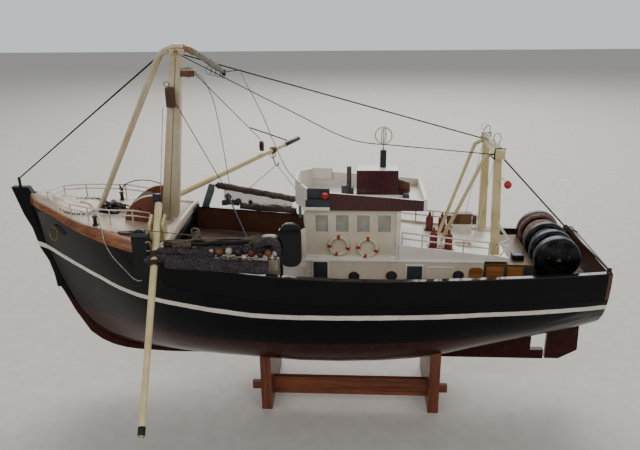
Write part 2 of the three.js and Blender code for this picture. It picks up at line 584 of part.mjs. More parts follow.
// Gantry: two leaning posts, the crossbeam and the forward legs
const GANTRY_TOP = 303;
const gantryPost = (side) => beam([207, side * 38.5, boatTop(207) + GAP], [203, side * 31, GANTRY_TOP], 9, 6.5, 7, 6);
const crossBeam = bar([203, -38, 299], [203, 38, 299], 3.6, 3.6, 10);
const endBlock = (y0, y1) => box(199.5, 208.5, y0, y1, 296, 305.5);
add('gantry', cut(join(gantryPost(-1), gantryPost(1), crossBeam, endBlock(-40.5, -33), endBlock(33, 40.5)),
  box(190, 230, -60, 60, 150, boatTop(207) + 1.2)), 'cream');
// A leg stands behind the bottles, and its head is bent aft to the post
const gantryLeg = join(bar([154.5, -12, boatFloor(154.5) + 1.5], [191, -29.6, 296], 1.9),
  bar([190.6, -29.5, 295.2], [198, -29.3, 299], 1.9));
pair('gantry_leg', gantryLeg, 'cream');

// Net drum on two stands over the stern
const STAND_Y = [26.8, 30.2];
// The drum's rims, barrels and necks, from port to starboard
const BARREL_R = 19;
const NECK_R = 5;
const DRUM_PARTS = [
  { from: -47.6, to: -46.5, r: NECK_R }, { from: -46.5, to: -31.7, r: DRUM_FLANGE_R },
  { from: -31.7, to: -25.3, r: NECK_R }, { from: -25.3, to: -13.5, r: DRUM_FLANGE_R },
  { from: -13.5, to: -1.5, r: BARREL_R }, { from: -1.5, to: 10, r: DRUM_FLANGE_R },
  { from: 10, to: 25.3, r: BARREL_R }, { from: 25.3, to: 31.7, r: NECK_R },
  { from: 31.7, to: 36, r: BARREL_R }, { from: 36, to: 46.5, r: DRUM_FLANGE_R },
  { from: 46.5, to: 47.6, r: NECK_R },
];
add('net_drum', turnedY([[-47.6, 0], ...DRUM_PARTS.flatMap(({ from, to, r }) => [[from, r], [to, r]]), [47.6, 0]],
  DRUM_AXIS, 24), 'steel');
const standFoot = (x) => deckTop(x) + GAP;
const stand = cut(plateXZ([[253, standFoot(253)], [290, standFoot(290)], [DRUM_AXIS[0] + 7, 197],
  [DRUM_AXIS[0] - 7, 197]], -STAND_Y[1], -STAND_Y[0]), bar([DRUM_AXIS[0], -60, DRUM_AXIS[2]], [DRUM_AXIS[0], 60, DRUM_AXIS[2]], 5.6, 5.6, 16));
pair('drum_stand', stand, 'steel');

// Rudder, turning on its stock
const rudderBlade = plateXZ([[284, KEEL_BOTTOM], [300, KEEL_BOTTOM], [310, 52], [320, 58], [318.5, 96.5], [284, 84]],
  -2.5, 2.5);
add('rudder', join(rudderBlade, bar([RUDDER_AXIS_X, 0, 80], [RUDDER_AXIS_X, 0, 98], 2.4, 2.4, 12)), 'bottom');

// Fish box on the well deck, just inside the port bulwark
add('fish_box', box(-28, -15.5, -86, -74, deckTop(-28) + GAP, 204), 'cream');

// Slack cords, each a list of points chosen by hand along its route: one from the foredeck over
// the side to the fore shoe, one from the mast's after block to the far trawl beam, and one from
// the aft stay to the corner of the roof tray
const CORD_R = 0.5;
const BOW_LINE = [
  [-249.5, 4, 234.2], [-245.5, 5.6, 232.8], [-240, 4.5, 231.7], [-235, -0.5, 230.6], [-230, -8, 229.6],
  [-222.7, -19.5, 227.6], [-217, -29, 225.8], [-211.5, -39, 223.7], [-206.5, -49, 222.2], [-202, -58, 220.4],
  [-199.5, -63.4, 217.8], [-197.6, -66.6, 214.2], [-195.4, -68, 209.6], [-192.3, -69.8, 204.6],
  [-188.1, -72, 199.2], [-181.2, -75, 192.7], [-174.2, -78, 186.9], [-168.7, -80.6, 182.2],
  [-163, -83.2, 179.4], [-158.5, -84.4, 178.9], [-156, -84.7, 180],
];
const MAST_LINE = [
  [-104.9, 0.8, 375.6], [-104.2, 6, 374.2], [-103.4, 13, 371.2], [-102.6, 20, 367.4], [-101.8, 27.1, 362.2],
  [-101, 33.8, 356.6], [-100.4, 40, 350.4], [-99.5, 46.4, 342], [-98.7, 52.3, 331.6], [-97.9, 58.2, 318],
  [-97.2, 63.4, 302.8], [-96.6, 67.8, 288.6], [-96, 71.9, 274.4], [-95.5, 75.3, 262], [-95, 78.4, 250.2],
  [-94.6, 81.2, 240], [-94.4, 83.2, 234], [-94.3, 84.6, 229.2],
];
const STAY_LINE = [
  [-59.6, 9.2, 375.4], [-57.2, 7.8, 371.4], [-53, 5.2, 363.2], [-48.2, 2.2, 355], [-43.4, -0.7, 346.5],
  [-38.8, -3.5, 337.8], [-34.2, -6.4, 328.8], [-30.3, -8.8, 319.6], [-26.7, -11, 310.7], [-23, -13.2, 302.6],
  [-19.4, -15.5, 294.8], [-15.8, -17.8, 287.6], [-12, -20.1, 280.9], [-7.8, -22.7, 275.6], [-3.3, -25.5, 271.4],
  [1, -28.2, 268.2], [4.6, -30.4, 266.7],
];
const CORDS = { bow_line: [BOW_LINE, 26], mast_line: [MAST_LINE, 28], stay_line: [STAY_LINE, 26] };
for (const [name, [points, steps]] of Object.entries(CORDS)) add(name, tube(points, CORD_R, 8, steps), 'cord');

// Cradle: two end boards shaped to the hull, and the stretcher tenoned through them
const hullGrown = hullBody(GAP);
const keelGrown = plateXZ(STEM_OUTER.map(([x, z]) => [x, z - GAP]), -KEEL_HALF_THICK - GAP, KEEL_HALF_THICK + GAP);
const STRETCHER_Y = [-36, -30];
const TENON_Z = [18, 27];
function cradleBoard(x, top) {
  const [x0, x1] = [x - BOARD_THICK / 2, x + BOARD_THICK / 2];
  const blank = plateYZ([[-BOARD_HALF_WIDTH, 0], [BOARD_HALF_WIDTH, 0], [BOARD_HALF_WIDTH, top], [-BOARD_HALF_WIDTH, top]],
    x0, x1);
  const mortise = box(x0 - 5, x1 + 5, STRETCHER_Y[0] - GAP, STRETCHER_Y[1] + GAP, TENON_Z[0] - GAP, TENON_Z[1] + GAP);
  return cut(blank, hullGrown, keelGrown, mortise);
}
add('cradle_board_fore', cradleBoard(FORE_BOARD_X, 76), 'cradle');
add('cradle_board_aft', cradleBoard(AFT_BOARD_X, 84), 'cradle');
const innerFore = FORE_BOARD_X + BOARD_THICK / 2 + GAP;
const innerAft = AFT_BOARD_X - BOARD_THICK / 2 - GAP;
add('cradle_stretcher', join(box(innerFore, innerAft, ...STRETCHER_Y, 13, 35),
  box(FORE_BOARD_X - 18, AFT_BOARD_X + 17, ...STRETCHER_Y, ...TENON_Z)), 'cradle');

export default model;
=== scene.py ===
import json
import math
import random

import bpy
from mathutils import Matrix, Vector

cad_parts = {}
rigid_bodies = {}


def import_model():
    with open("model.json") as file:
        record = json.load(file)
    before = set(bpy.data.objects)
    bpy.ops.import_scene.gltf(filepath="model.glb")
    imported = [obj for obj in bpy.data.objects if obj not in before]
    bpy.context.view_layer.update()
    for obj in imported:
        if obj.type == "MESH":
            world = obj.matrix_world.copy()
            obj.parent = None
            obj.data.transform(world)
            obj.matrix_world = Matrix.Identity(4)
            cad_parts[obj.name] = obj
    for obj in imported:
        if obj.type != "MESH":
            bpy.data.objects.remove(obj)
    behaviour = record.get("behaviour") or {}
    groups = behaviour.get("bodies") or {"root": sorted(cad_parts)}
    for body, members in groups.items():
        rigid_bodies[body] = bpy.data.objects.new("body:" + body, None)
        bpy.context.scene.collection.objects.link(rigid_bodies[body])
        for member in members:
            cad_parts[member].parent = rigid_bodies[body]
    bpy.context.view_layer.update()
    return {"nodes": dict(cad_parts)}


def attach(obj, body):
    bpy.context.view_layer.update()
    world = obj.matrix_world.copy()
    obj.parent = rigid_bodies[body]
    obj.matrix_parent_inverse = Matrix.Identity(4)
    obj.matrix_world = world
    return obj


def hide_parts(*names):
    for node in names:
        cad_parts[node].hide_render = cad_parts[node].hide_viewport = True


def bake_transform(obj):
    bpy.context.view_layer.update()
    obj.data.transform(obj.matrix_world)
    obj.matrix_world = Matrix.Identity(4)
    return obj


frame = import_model()
# One seed for the loose threads and the way each float is turned
draw = random.Random(41)

# Places are given in millimetres from amidships, as the drawings give them: X aft,
# Y to starboard, Z up. The row's own origin is 39 mm forward of amidships.
FORE_BOARD = 39
MM = 0.001
# Points closer than this, in metres, are one point
TOUCHING = 0.00001


def at(x, y, z):
    """A place in millimetres from amidships, as a point of the row in metres."""
    return Vector(((x + FORE_BOARD) * MM, y * MM, z * MM))


def fresh():
    """Leaves edit mode and lets go of everything that is selected."""
    if bpy.context.object and bpy.context.object.mode != "OBJECT":
        bpy.ops.object.mode_set(mode="OBJECT")
    bpy.ops.object.select_all(action="DESELECT")


def pick(piece):
    """Selects one piece alone and makes it active."""
    fresh()
    piece.select_set(True)
    bpy.context.view_layer.objects.active = piece


def edit(piece):
    """Opens one piece in edit mode with all of it selected."""
    pick(piece)
    bpy.ops.object.mode_set(mode="EDIT")
    bpy.ops.mesh.select_all(action="SELECT")


# Camera, at the photograph's angle

YAW, PITCH, ROLL = math.radians(3.42), math.radians(20.72), math.radians(-0.71)
EYE = at(62, -673, 464.8)
SENSOR_WIDTH, FOCAL_LENGTH = 36, 36.45
level = Vector((math.cos(YAW), math.sin(YAW), 0))
forward = Vector((-math.sin(YAW) * math.cos(PITCH), math.cos(YAW) * math.cos(PITCH), -math.sin(PITCH)))
upright = level.cross(forward)
right = math.cos(ROLL) * level + math.sin(ROLL) * upright
top = math.cos(ROLL) * upright - math.sin(ROLL) * level
fresh()
turn = Matrix((right, top, -forward)).transposed().to_euler()
bpy.ops.object.camera_add(location=EYE, rotation=turn)
camera = bpy.context.object
camera.data.sensor_width = SENSOR_WIDTH
camera.data.lens = FOCAL_LENGTH
camera.data.clip_start = 0.01
bpy.context.scene.camera = camera


# Materials

def linear(hex_colour):
    """An sRGB hex colour as linear red, green, blue and alpha."""
    parts = [int(hex_colour[i:i + 2], 16) / 255 for i in (1, 3, 5)]
    return [p / 12.92 if p <= 0.04045 else ((p + 0.055) / 1.055) ** 2.4 for p in parts] + [1.0]


def node(tree, kind, inputs=None, stops=None, **settings):
    """Adds a node. Inputs are sockets to link or values to set; stops are a ramp's places and colours."""
    made = tree.nodes.new(kind)
    for key, value in settings.items():
        setattr(made, key, value)
    for key, value in (inputs or {}).items():
        if isinstance(value, bpy.types.NodeSocket):
            tree.links.new(value, made.inputs[key])
        else:
            made.inputs[key].default_value = value
    if stops:
        ramp = made.color_ramp
        while len(ramp.elements) < len(stops):
            ramp.elements.new(0.5)
        for element, (place, colour) in zip(ramp.elements, stops):
            element.position = place
            element.color = linear(colour) if isinstance(colour, str) else (colour, colour, colour, 1)
    return made


def blank(name):
    """A new material's empty node tree, its place on the object in metres, and the material."""
    made = bpy.data.materials.new(name)
    made.use_nodes = True
    tree = made.node_tree
    tree.nodes.clear()
    place = node(tree, "ShaderNodeTexCoord").outputs["Object"]
    return made, tree, place


def surface(tree, colour, roughness, height, lift, **fixed):
    """Closes a material: its shader with colour, roughness, relief and the constants that are fixed."""
    relief = node(tree, "ShaderNodeBump", {"Height": height, "Distance": lift * MM, "Strength": 1.0})
    shader = node(tree, "ShaderNodeBsdfPrincipled", {"Base Color": colour, "Roughness": roughness,
                                                     "Normal": relief.outputs["Normal"]})
    for key, value in fixed.items():
        shader.inputs[key.replace("_", " ")].default_value = value
    node(tree, "ShaderNodeOutputMaterial", {"Surface": shader.outputs["BSDF"]})
    return shader


def per_mm(size):
    """A noise's scale for patches of this size in millimetres."""
    return 1000 / size


# Where nearly all values of a noise lie
NOISE_LOW, NOISE_HIGH = 0.3, 0.7


def spread(tree, value, low, high):
    """A noise value moved to run from low to high."""
    return node(tree, "ShaderNodeMapRange", {"Value": value, "From Min": NOISE_LOW, "From Max": NOISE_HIGH,
                                             "To Min": low, "To Max": high}).outputs["Result"]


def enamel(name, colour, aged, worn, gloss, patch=26, brush=2.2, lift=0.05, **fixed):
    """Model enamel brushed on wood: broad aged patches, small worn flecks and fine brush ridges."""
    made, tree, place = blank(name)
    broad = node(tree, "ShaderNodeTexNoise", {"Vector": place, "Scale": per_mm(patch), "Detail": 4.0})
    fleck = node(tree, "ShaderNodeTexNoise", {"Vector": place, "Scale": per_mm(4), "Detail": 6.0,
                                              "Roughness": 0.7})
    ridge = node(tree, "ShaderNodeTexNoise", {"Vector": place, "Scale": per_mm(brush), "Detail": 3.0})
    tone = node(tree, "ShaderNodeValToRGB", {"Fac": broad.outputs["Fac"]},
                stops=[(0.34, colour), (0.68, aged)])
    where = node(tree, "ShaderNodeValToRGB", {"Fac": fleck.outputs["Fac"]}, stops=[(0.66, 0.0), (0.76, 0.8)])
    paint = node(tree, "ShaderNodeMix", {0: where.outputs["Color"], 6: tone.outputs["Color"],
                                         7: linear(worn)}, data_type="RGBA")
    surface(tree, paint.outputs[2], spread(tree, ridge.outputs["Fac"], gloss - 0.06, gloss + 0.08),
            ridge.outputs["Fac"], lift, **fixed)
    return made


def timber(name, pale, dark, gloss, grain=1.3, along="X", lift=0.08, **fixed):
    """Sawn timber under varnish: long fibres, slow bands of growth and short dark pores."""
    made, tree, place = blank(name)
    stretch = {"X": (0.06, 1, 1), "Z": (1, 1, 0.06), "Y": (1, 0.06, 1)}[along]
    drawn = node(tree, "ShaderNodeMapping", {"Vector": place, "Scale": stretch})
    band = node(tree, "ShaderNodeTexNoise", {"Vector": drawn.outputs["Vector"], "Scale": per_mm(7),
                                             "Detail": 3.0, "Distortion": 0.6})
    fibre = node(tree, "ShaderNodeTexNoise", {"Vector": drawn.outputs["Vector"], "Scale": per_mm(grain),
                                              "Detail": 5.0, "Roughness": 0.65})
    mixed = node(tree, "ShaderNodeMath", {0: band.outputs["Fac"], 1: fibre.outputs["Fac"]}, operation="ADD")
    halved = node(tree, "ShaderNodeMath", {0: mixed.outputs[0], 1: 0.5}, operation="MULTIPLY")
    tone = node(tree, "ShaderNodeValToRGB", {"Fac": halved.outputs[0]}, stops=[(0.38, dark), (0.6, pale)])
    surface(tree, tone.outputs["Color"], spread(tree, fibre.outputs["Fac"], gloss + 0.08, gloss - 0.06),
            fibre.outputs["Fac"], lift, **fixed)
    return made


def metal(name, colour, tarnish, gloss, metallic, grit=0.9):
    """Cast or rolled metal with patches of tarnish and a fine grit."""
    made, tree, place = blank(name)
    patch = node(tree, "ShaderNodeTexNoise", {"Vector": place, "Scale": per_mm(9), "Detail": 6.0,
                                              "Roughness": 0.65})
    fine = node(tree, "ShaderNodeTexNoise", {"Vector": place, "Scale": per_mm(grit), "Detail": 2.0})
    tone = node(tree, "ShaderNodeValToRGB", {"Fac": patch.outputs["Fac"]},
                stops=[(0.42, colour), (0.66, tarnish)])
    surface(tree, tone.outputs["Color"], spread(tree, patch.outputs["Fac"], gloss - 0.08, gloss + 0.12),
            fine.outputs["Fac"], 0.04, Metallic=metallic)
    return made


def planked(name, pale, dark, seam, width, gloss, axis="Y"):
    """Deck planks of this width, each its own shade, with a dark caulked seam between them."""
    made, tree, place = blank(name)
    parts = node(tree, "ShaderNodeSeparateXYZ", {"Vector": place})
    count = node(tree, "ShaderNodeMath", {0: parts.outputs[axis], 1: width * MM}, operation="DIVIDE")
    index = node(tree, "ShaderNodeMath", {0: count.outputs[0]}, operation="FLOOR")
    across = node(tree, "ShaderNodeMath", {0: count.outputs[0]}, operation="FRACT")
    shade = node(tree, "ShaderNodeTexWhiteNoise", {"W": index.outputs[0]}, noise_dimensions="1D")
    drawn = node(tree, "ShaderNodeMapping", {"Vector": place, "Scale": (0.08, 1, 1)})
    fibre = node(tree, "ShaderNodeTexNoise", {"Vector": drawn.outputs["Vector"], "Scale": per_mm(1.6),
                                              "Detail": 5.0, "Roughness": 0.65})
    mixed = node(tree, "ShaderNodeMath", {0: shade.outputs["Value"], 1: 0.45, 2: fibre.outputs["Fac"]},
                 operation="MULTIPLY_ADD")
    tone = node(tree, "ShaderNodeValToRGB", {"Fac": mixed.outputs[0]}, stops=[(0.4, dark), (0.95, pale)])
    edge = node(tree, "ShaderNodeMath", {0: across.outputs[0], 1: 0.5}, operation="PINGPONG")
    line = node(tree, "ShaderNodeMapRange", {"Value": edge.outputs[0], "From Min": 0.03, "From Max": 0.1,
                                             "To Min": 1.0, "To Max": 0.0})
    wood = node(tree, "ShaderNodeMix", {0: line.outputs["Result"], 6: tone.outputs["Color"], 7: linear(seam)},
                data_type="RGBA")
    sunk = node(tree, "ShaderNodeMath", {0: line.outputs["Result"], 1: -0.8, 2: fibre.outputs["Fac"]},
                operation="MULTIPLY_ADD")
    surface(tree, wood.outputs[2], spread(tree, fibre.outputs["Fac"], gloss + 0.06, gloss - 0.05),
            sunk.outputs[0], 0.12)
    return made


def along_hull(tree, x, rows):
    """A value in metres that follows rows of distance from amidships and value in millimetres."""
    (first, _), (last, _) = rows[0], rows[-1]
    low, high = min(value for _, value in rows), max(value for _, value in rows)
    share = node(tree, "ShaderNodeMapRange", {"Value": x, "From Min": at(first, 0, 0).x,
                                              "From Max": at(last, 0, 0).x})
    curve = node(tree, "ShaderNodeFloatCurve", {"Value": share.outputs["Result"]})
    points = curve.mapping.curves[0].points
    spots = [((place - first) / (last - first), (value - low) / (high - low)) for place, value in rows]
    points[0].location, points[1].location = spots[0], spots[-1]
    for spot in spots[1:-1]:
        points.new(*spot)
    curve.mapping.update()
    return node(tree, "ShaderNodeMapRange", {"Value": curve.outputs["Value"], "To Min": low * MM,
                                             "To Max": high * MM}).outputs["Result"]


# Painted white line along the topsides. Rows: distance from amidships, height of its middle
LINE = [(-322, 196), (-296, 184), (-269, 176), (-219, 164.5), (-174, 155), (-129, 152), (-79, 148),
        (-37, 145), (22, 144), (89, 142.5), (148, 141), (198, 141), (249, 142), (324, 147)]
LINE_WIDTH = 5.6
# Top of the red, level along the hull; at the stem it rises between two distances from amidships
WATERLINE, WATERLINE_AT_STEM, RISE_FROM, RISE_TO = 107, 129, -262, -288


def topsides():
    """Satin black enamel on planked wood, an ivory line, and dull red anti-fouling below the waterline."""
    made, tree, place = blank("satin_black_and_antifouling_enamel")
    parts = node(tree, "ShaderNodeSeparateXYZ", {"Vector": place})
    middle = along_hull(tree, parts.outputs["X"], LINE)
    hand = node(tree, "ShaderNodeTexNoise", {"Vector": place, "Scale": per_mm(14), "Detail": 3.0})
    shaky = node(tree, "ShaderNodeMath", {0: hand.outputs["Fac"], 1: 1.1 * MM, 2: parts.outputs["Z"]},
                 operation="MULTIPLY_ADD")
    off = node(tree, "ShaderNodeMath", {0: shaky.outputs[0], 1: middle}, operation="SUBTRACT")
    away = node(tree, "ShaderNodeMath", {0: off.outputs[0]}, operation="ABSOLUTE")
    inside = node(tree, "ShaderNodeMath", {0: away.outputs[0], 1: LINE_WIDTH / 2 * MM}, operation="LESS_THAN")
    stem = node(tree, "ShaderNodeMapRange", {"Value": parts.outputs["X"], "From Min": at(RISE_FROM, 0, 0).x,
                                             "From Max": at(RISE_TO, 0, 0).x, "To Min": WATERLINE * MM,
                                             "To Max": WATERLINE_AT_STEM * MM})
    under = node(tree, "ShaderNodeMath", {0: shaky.outputs[0], 1: stem.outputs["Result"]},
                 operation="LESS_THAN")
    broad = node(tree, "ShaderNodeTexNoise", {"Vector": place, "Scale": per_mm(40), "Detail": 5.0})
    black = node(tree, "ShaderNodeValToRGB", {"Fac": broad.outputs["Fac"]},
                 stops=[(0.35, "#060608"), (0.7, "#0c0c10")])
    scuff = node(tree, "ShaderNodeTexNoise", {"Vector": place, "Scale": per_mm(18), "Detail": 7.0,
                                              "Roughness": 0.7})
    red = node(tree, "ShaderNodeValToRGB", {"Fac": scuff.outputs["Fac"]},
               stops=[(0.35, "#2a0f0e"), (0.6, "#3c1613"), (0.78, "#52271e")])
    lower = node(tree, "ShaderNodeMix", {0: under.outputs[0], 6: black.outputs["Color"],
                                         7: red.outputs["Color"]}, data_type="RGBA")
    ivory = node(tree, "ShaderNodeValToRGB", {"Fac": scuff.outputs["Fac"]},
                 stops=[(0.3, "#efe9dc"), (0.75, "#cfc6b4")])
    paint = node(tree, "ShaderNodeMix", {0: inside.outputs[0], 6: lower.outputs[2],
                                         7: ivory.outputs["Color"]}, data_type="RGBA")
    wave = node(tree, "ShaderNodeTexNoise", {"Vector": place, "Scale": per_mm(22), "Detail": 2.0})
    surface(tree, paint.outputs[2], spread(tree, scuff.outputs["Fac"], 0.16, 0.3), wave.outputs["Fac"], 0.25,
            Specular_IOR_Level=0.15)
    return made


# Where the varnished shoulder of the foredeck ends and its pale top, partly painted reflection, begins. Rows:
# distance from amidships, half-breadth of its edge
SHOULDER_EDGE = [(-301, 4.5), (-291, 12), (-280, 18), (-253, 31.5), (-217, 46), (-194, 51), (-169, 56.5),
                 (-134, 61)]


def foredeck():
    """Pale foredeck, waxed smooth, inside a shoulder of orange-brown wood under gloss varnish; the top's pale
    tone is partly the wood's own and partly a painted reflection of the window on its finish.
    """
    made, tree, place = blank("waxed_pine_and_varnished_mahogany")
    parts = node(tree, "ShaderNodeSeparateXYZ", {"Vector": place})
    drawn = node(tree, "ShaderNodeMapping", {"Vector": place, "Scale": (0.07, 1, 1)})
    fibre = node(tree, "ShaderNodeTexNoise", {"Vector": drawn.outputs["Vector"], "Scale": per_mm(2.2),
                                              "Detail": 5.0, "Roughness": 0.6})
    smudge = node(tree, "ShaderNodeTexNoise", {"Vector": place, "Scale": per_mm(16), "Detail": 4.0})
    out = node(tree, "ShaderNodeMath", {0: parts.outputs["Y"]}, operation="ABSOLUTE")
    shaky = node(tree, "ShaderNodeMath", {0: smudge.outputs["Fac"], 1: 3 * MM, 2: out.outputs[0]},
                 operation="MULTIPLY_ADD")
    edge = along_hull(tree, parts.outputs["X"], SHOULDER_EDGE)
    past = node(tree, "ShaderNodeMath", {0: shaky.outputs[0], 1: edge}, operation="SUBTRACT")
    side = node(tree, "ShaderNodeMapRange", {"Value": past.outputs[0], "From Min": 0.0, "From Max": 2.6 * MM})
    mixed = node(tree, "ShaderNodeMath", {0: fibre.outputs["Fac"], 1: smudge.outputs["Fac"]}, operation="ADD")
    halved = node(tree, "ShaderNodeMath", {0: mixed.outputs[0], 1: 0.5}, operation="MULTIPLY")
    # Pale top: the wood's light tone lifted by a painted reflection of the window
    pale_wood_and_reflection = node(tree, "ShaderNodeValToRGB", {"Fac": halved.outputs[0]},
                stops=[(0.38, "#b39c86"), (0.6, "#cdbba6")])
    shoulder_brown = node(tree, "ShaderNodeValToRGB", {"Fac": halved.outputs[0]},
                    stops=[(0.38, "#5f3820"), (0.6, "#925c34")])
    wood = node(tree, "ShaderNodeMix", {0: side.outputs["Result"], 6: pale_wood_and_reflection.outputs["Color"],
                                        7: shoulder_brown.outputs["Color"]}, data_type="RGBA")
    gloss = node(tree, "ShaderNodeMapRange", {"Value": side.outputs["Result"], "To Min": 0.36, "To Max": 0.2})
    surface(tree, wood.outputs[2], gloss.outputs["Result"], fibre.outputs["Fac"], 0.05)
    return made


def netting(name, thread, gap, cell):
    """Bundled knotted net: small uneven meshes of thread round gaps painted dark as the shade inside the
    bundle, over deeper folds painted darker as their shade.
    """
    made, tree, place = blank(name)
    fold = node(tree, "ShaderNodeTexNoise", {"Vector": place, "Scale": per_mm(9), "Detail": 5.0})
    pull = node(tree, "ShaderNodeVectorMath", {0: fold.outputs["Color"], 1: (3 * MM, 3 * MM, 3 * MM)},
                operation="MULTIPLY")
    moved = node(tree, "ShaderNodeVectorMath", {0: place, 1: pull.outputs["Vector"]}, operation="ADD")
    meshes = node(tree, "ShaderNodeTexVoronoi", {"Vector": moved.outputs["Vector"], "Scale": per_mm(cell)},
                  feature="DISTANCE_TO_EDGE")
    thin = node(tree, "ShaderNodeMapRange", {"Value": meshes.outputs["Distance"], "From Min": 0.04,
                                             "From Max": 0.2, "To Min": 0.55, "To Max": 0.0})
    mixed = node(tree, "ShaderNodeMath", {0: thin.outputs["Result"], 1: fold.outputs["Fac"]}, operation="ADD")
    # The gap colour and the darkening in low folds are painted shade inside the bundle
    tone = node(tree, "ShaderNodeValToRGB", {"Fac": mixed.outputs[0]}, stops=[(0.45, gap), (1.0, thread)])
    surface(tree, tone.outputs["Color"], spread(tree, fold.outputs["Fac"], 0.75, 0.92), mixed.outputs[0], 0.6)
    return made


def lattice(name, colour, cell, thick):
    """Open net hung up: two families of fine threads across each other, clear between them."""
    made, tree, place = blank(name)
    stir = node(tree, "ShaderNodeTexNoise", {"Vector": place, "Scale": per_mm(14), "Detail": 2.0})
    parts = node(tree, "ShaderNodeSeparateXYZ", {"Vector": place})
    nearest = None
    for way in (1.0, -1.0):
        slope = node(tree, "ShaderNodeMath", {0: parts.outputs["Z"], 1: way * 1.3, 2: parts.outputs["X"]},
                     operation="MULTIPLY_ADD")
        bent = node(tree, "ShaderNodeMath", {0: stir.outputs["Fac"], 1: 2 * cell * MM, 2: slope.outputs[0]},
                    operation="MULTIPLY_ADD")
        count = node(tree, "ShaderNodeMath", {0: bent.outputs[0], 1: cell * MM}, operation="DIVIDE")
        off = node(tree, "ShaderNodeMath", {0: count.outputs[0], 1: 0.5}, operation="PINGPONG")
        if nearest is None:
            nearest = off.outputs[0]
        else:
            nearest = node(tree, "ShaderNodeMath", {0: nearest, 1: off.outputs[0]},
                           operation="MINIMUM").outputs[0]
    solid = node(tree, "ShaderNodeMath", {0: nearest, 1: thick / cell}, operation="LESS_THAN")
    tone = node(tree, "ShaderNodeValToRGB", {"Fac": stir.outputs["Fac"]},
                stops=[(0.3, colour), (0.7, "#5c5652")])
    shader = surface(tree, tone.outputs["Color"], 0.8, solid.outputs[0], 0.05)
    tree.links.new(solid.outputs[0], shader.inputs["Alpha"])
    return made


def twine(name, pale, dark, lay=1.6):
    """Laid twine: two tones of strand a turn apart, with a hairy surface."""
    made, tree, place = blank(name)
    strand = node(tree, "ShaderNodeTexNoise", {"Vector": place, "Scale": per_mm(lay), "Detail": 3.0})
    tone = node(tree, "ShaderNodeValToRGB", {"Fac": strand.outputs["Fac"]},
                stops=[(0.38, dark), (0.62, pale)])
    surface(tree, tone.outputs["Color"], spread(tree, strand.outputs["Fac"], 0.78, 0.95),
            strand.outputs["Fac"], 0.15)
    return made


HULL = topsides()
# Inside the bulwarks: red-brown enamel, glossy from handling, rubbed paler in flecks
BULWARK = enamel("red_brown_bulwark_enamel", "#43251c", "#573326", "#6d4634", 0.3)
# Rail tops: dark enamel rubbed to a bright gloss
CAPRAIL = enamel("black_brown_gloss_caprail_enamel", "#130c0b", "#1e1412", "#3f2c25", 0.13, lift=0.02)
# Pine strip decks, stained and waxed, and darkened further as painted shade of the well: a soft sheen, with
# dark drawn seams 6 mm apart
DECK = planked("waxed_strip_pine_deck", "#7f6b56", "#57453a", "#281c16", 6, 0.5)
FOREDECK = foredeck()
# Orange ply under varnish: a clear gloss over warm, close grain
PANEL = timber("varnished_orange_ply_panel", "#9c6633", "#714522", 0.28)
# Tackle blocks and small brown fittings: oiled wood, a dull sheen over upright grain
BLOCK_WOOD = timber("oiled_brown_block_wood", "#6b4226", "#3f2414", 0.4, along="Z")
# Booms and gantry: birch dowel under cream enamel that has yellowed
SPAR = enamel("yellowed_cream_spar_enamel", "#d6c898", "#c2b07c", "#a58f5e", 0.32, patch=18)
# The mast and its legs are greyer and pinker than the booms: partly their own tone, partly painted shade for
# the shade they stand in
MASTS = enamel("grey_cream_mast_enamel_with_painted_shade", "#cfc2a4", "#b9a98a", "#a08668", 0.34, patch=22)
# Groove down the middle of the mast: a matt strip painted darker, as painted shade in the groove
GROOVE_SHADE = enamel("painted_groove_shade", "#8e8069", "#85775f", "#7a6d57", 0.5)
# House walls: cream enamel, satin, smooth, a little dirty in patches
HOUSE = enamel("cream_white_house_enamel", "#dad0bb", "#cbbfa7", "#ab9c82", 0.36, lift=0.03)
# Ledges, rails' boards and frames: ivory enamel, satin and smooth
TRIM = enamel("ivory_trim_enamel", "#e9e4d8", "#dbd4c5", "#bdb29e", 0.36, lift=0.03)
# Roof: dark maroon enamel, a clean gloss with hardly a brush mark; in the fairleads' slots it is painted
# shade of their recess
MAROON = enamel("dark_maroon_gloss_enamel", "#3a1216", "#471719", "#2a0d10", 0.26, lift=0.015)
# Winch quadrants: terracotta enamel, matt
TERRACOTTA = enamel("terracotta_matt_enamel", "#7d4029", "#683221", "#935a3c", 0.45)
# Boom posts: navy enamel, satin, chipped paler
NAVY = enamel("navy_satin_enamel", "#15172b", "#1d2038", "#343a58", 0.28)
# Gas bottles: red oxide enamel, satin, with pale knocks
BOTTLE = enamel("red_oxide_bottle_enamel", "#7a2a1d", "#641f17", "#9a4a34", 0.3)
# Bands of the life rings, port lamp and ball: bright red enamel, satin
SIGNAL_RED = enamel("signal_red_enamel", "#b3201c", "#98201a", "#c9503f", 0.3)
# Starboard lamp: bottle green enamel, satin
GREEN = enamel("signal_green_enamel", "#1f6b3a", "#195a30", "#4f9060", 0.3)
# Doors, screens and boxes: slate-grey enamel, dull; also the painted shade in the gaps between the locker's
# panels
SLATE = enamel("slate_grey_door_enamel", "#2b2e33", "#363a40", "#4d5258", 0.4)
# Top of the stern locker: olive-brown enamel, dull and worn
OLIVE = enamel("olive_brown_locker_enamel", "#5b4a2c", "#4a3b24", "#776240", 0.42)
# Lid of the stern locker: oiled wood without any gloss left
LID_WOOD = timber("dull_oiled_locker_lid", "#4a3222", "#2c1d14", 0.72)
# Fish box: bare sawn wood gone grey
BOX_WOOD = timber("weathered_grey_box_wood", "#a59a80", "#7b705b", 0.5)
# Leaning post of the roof: oiled until nearly black
POST_WOOD = timber("dark_oiled_post_wood", "#4a3f37", "#2c2420", 0.42, along="Z")
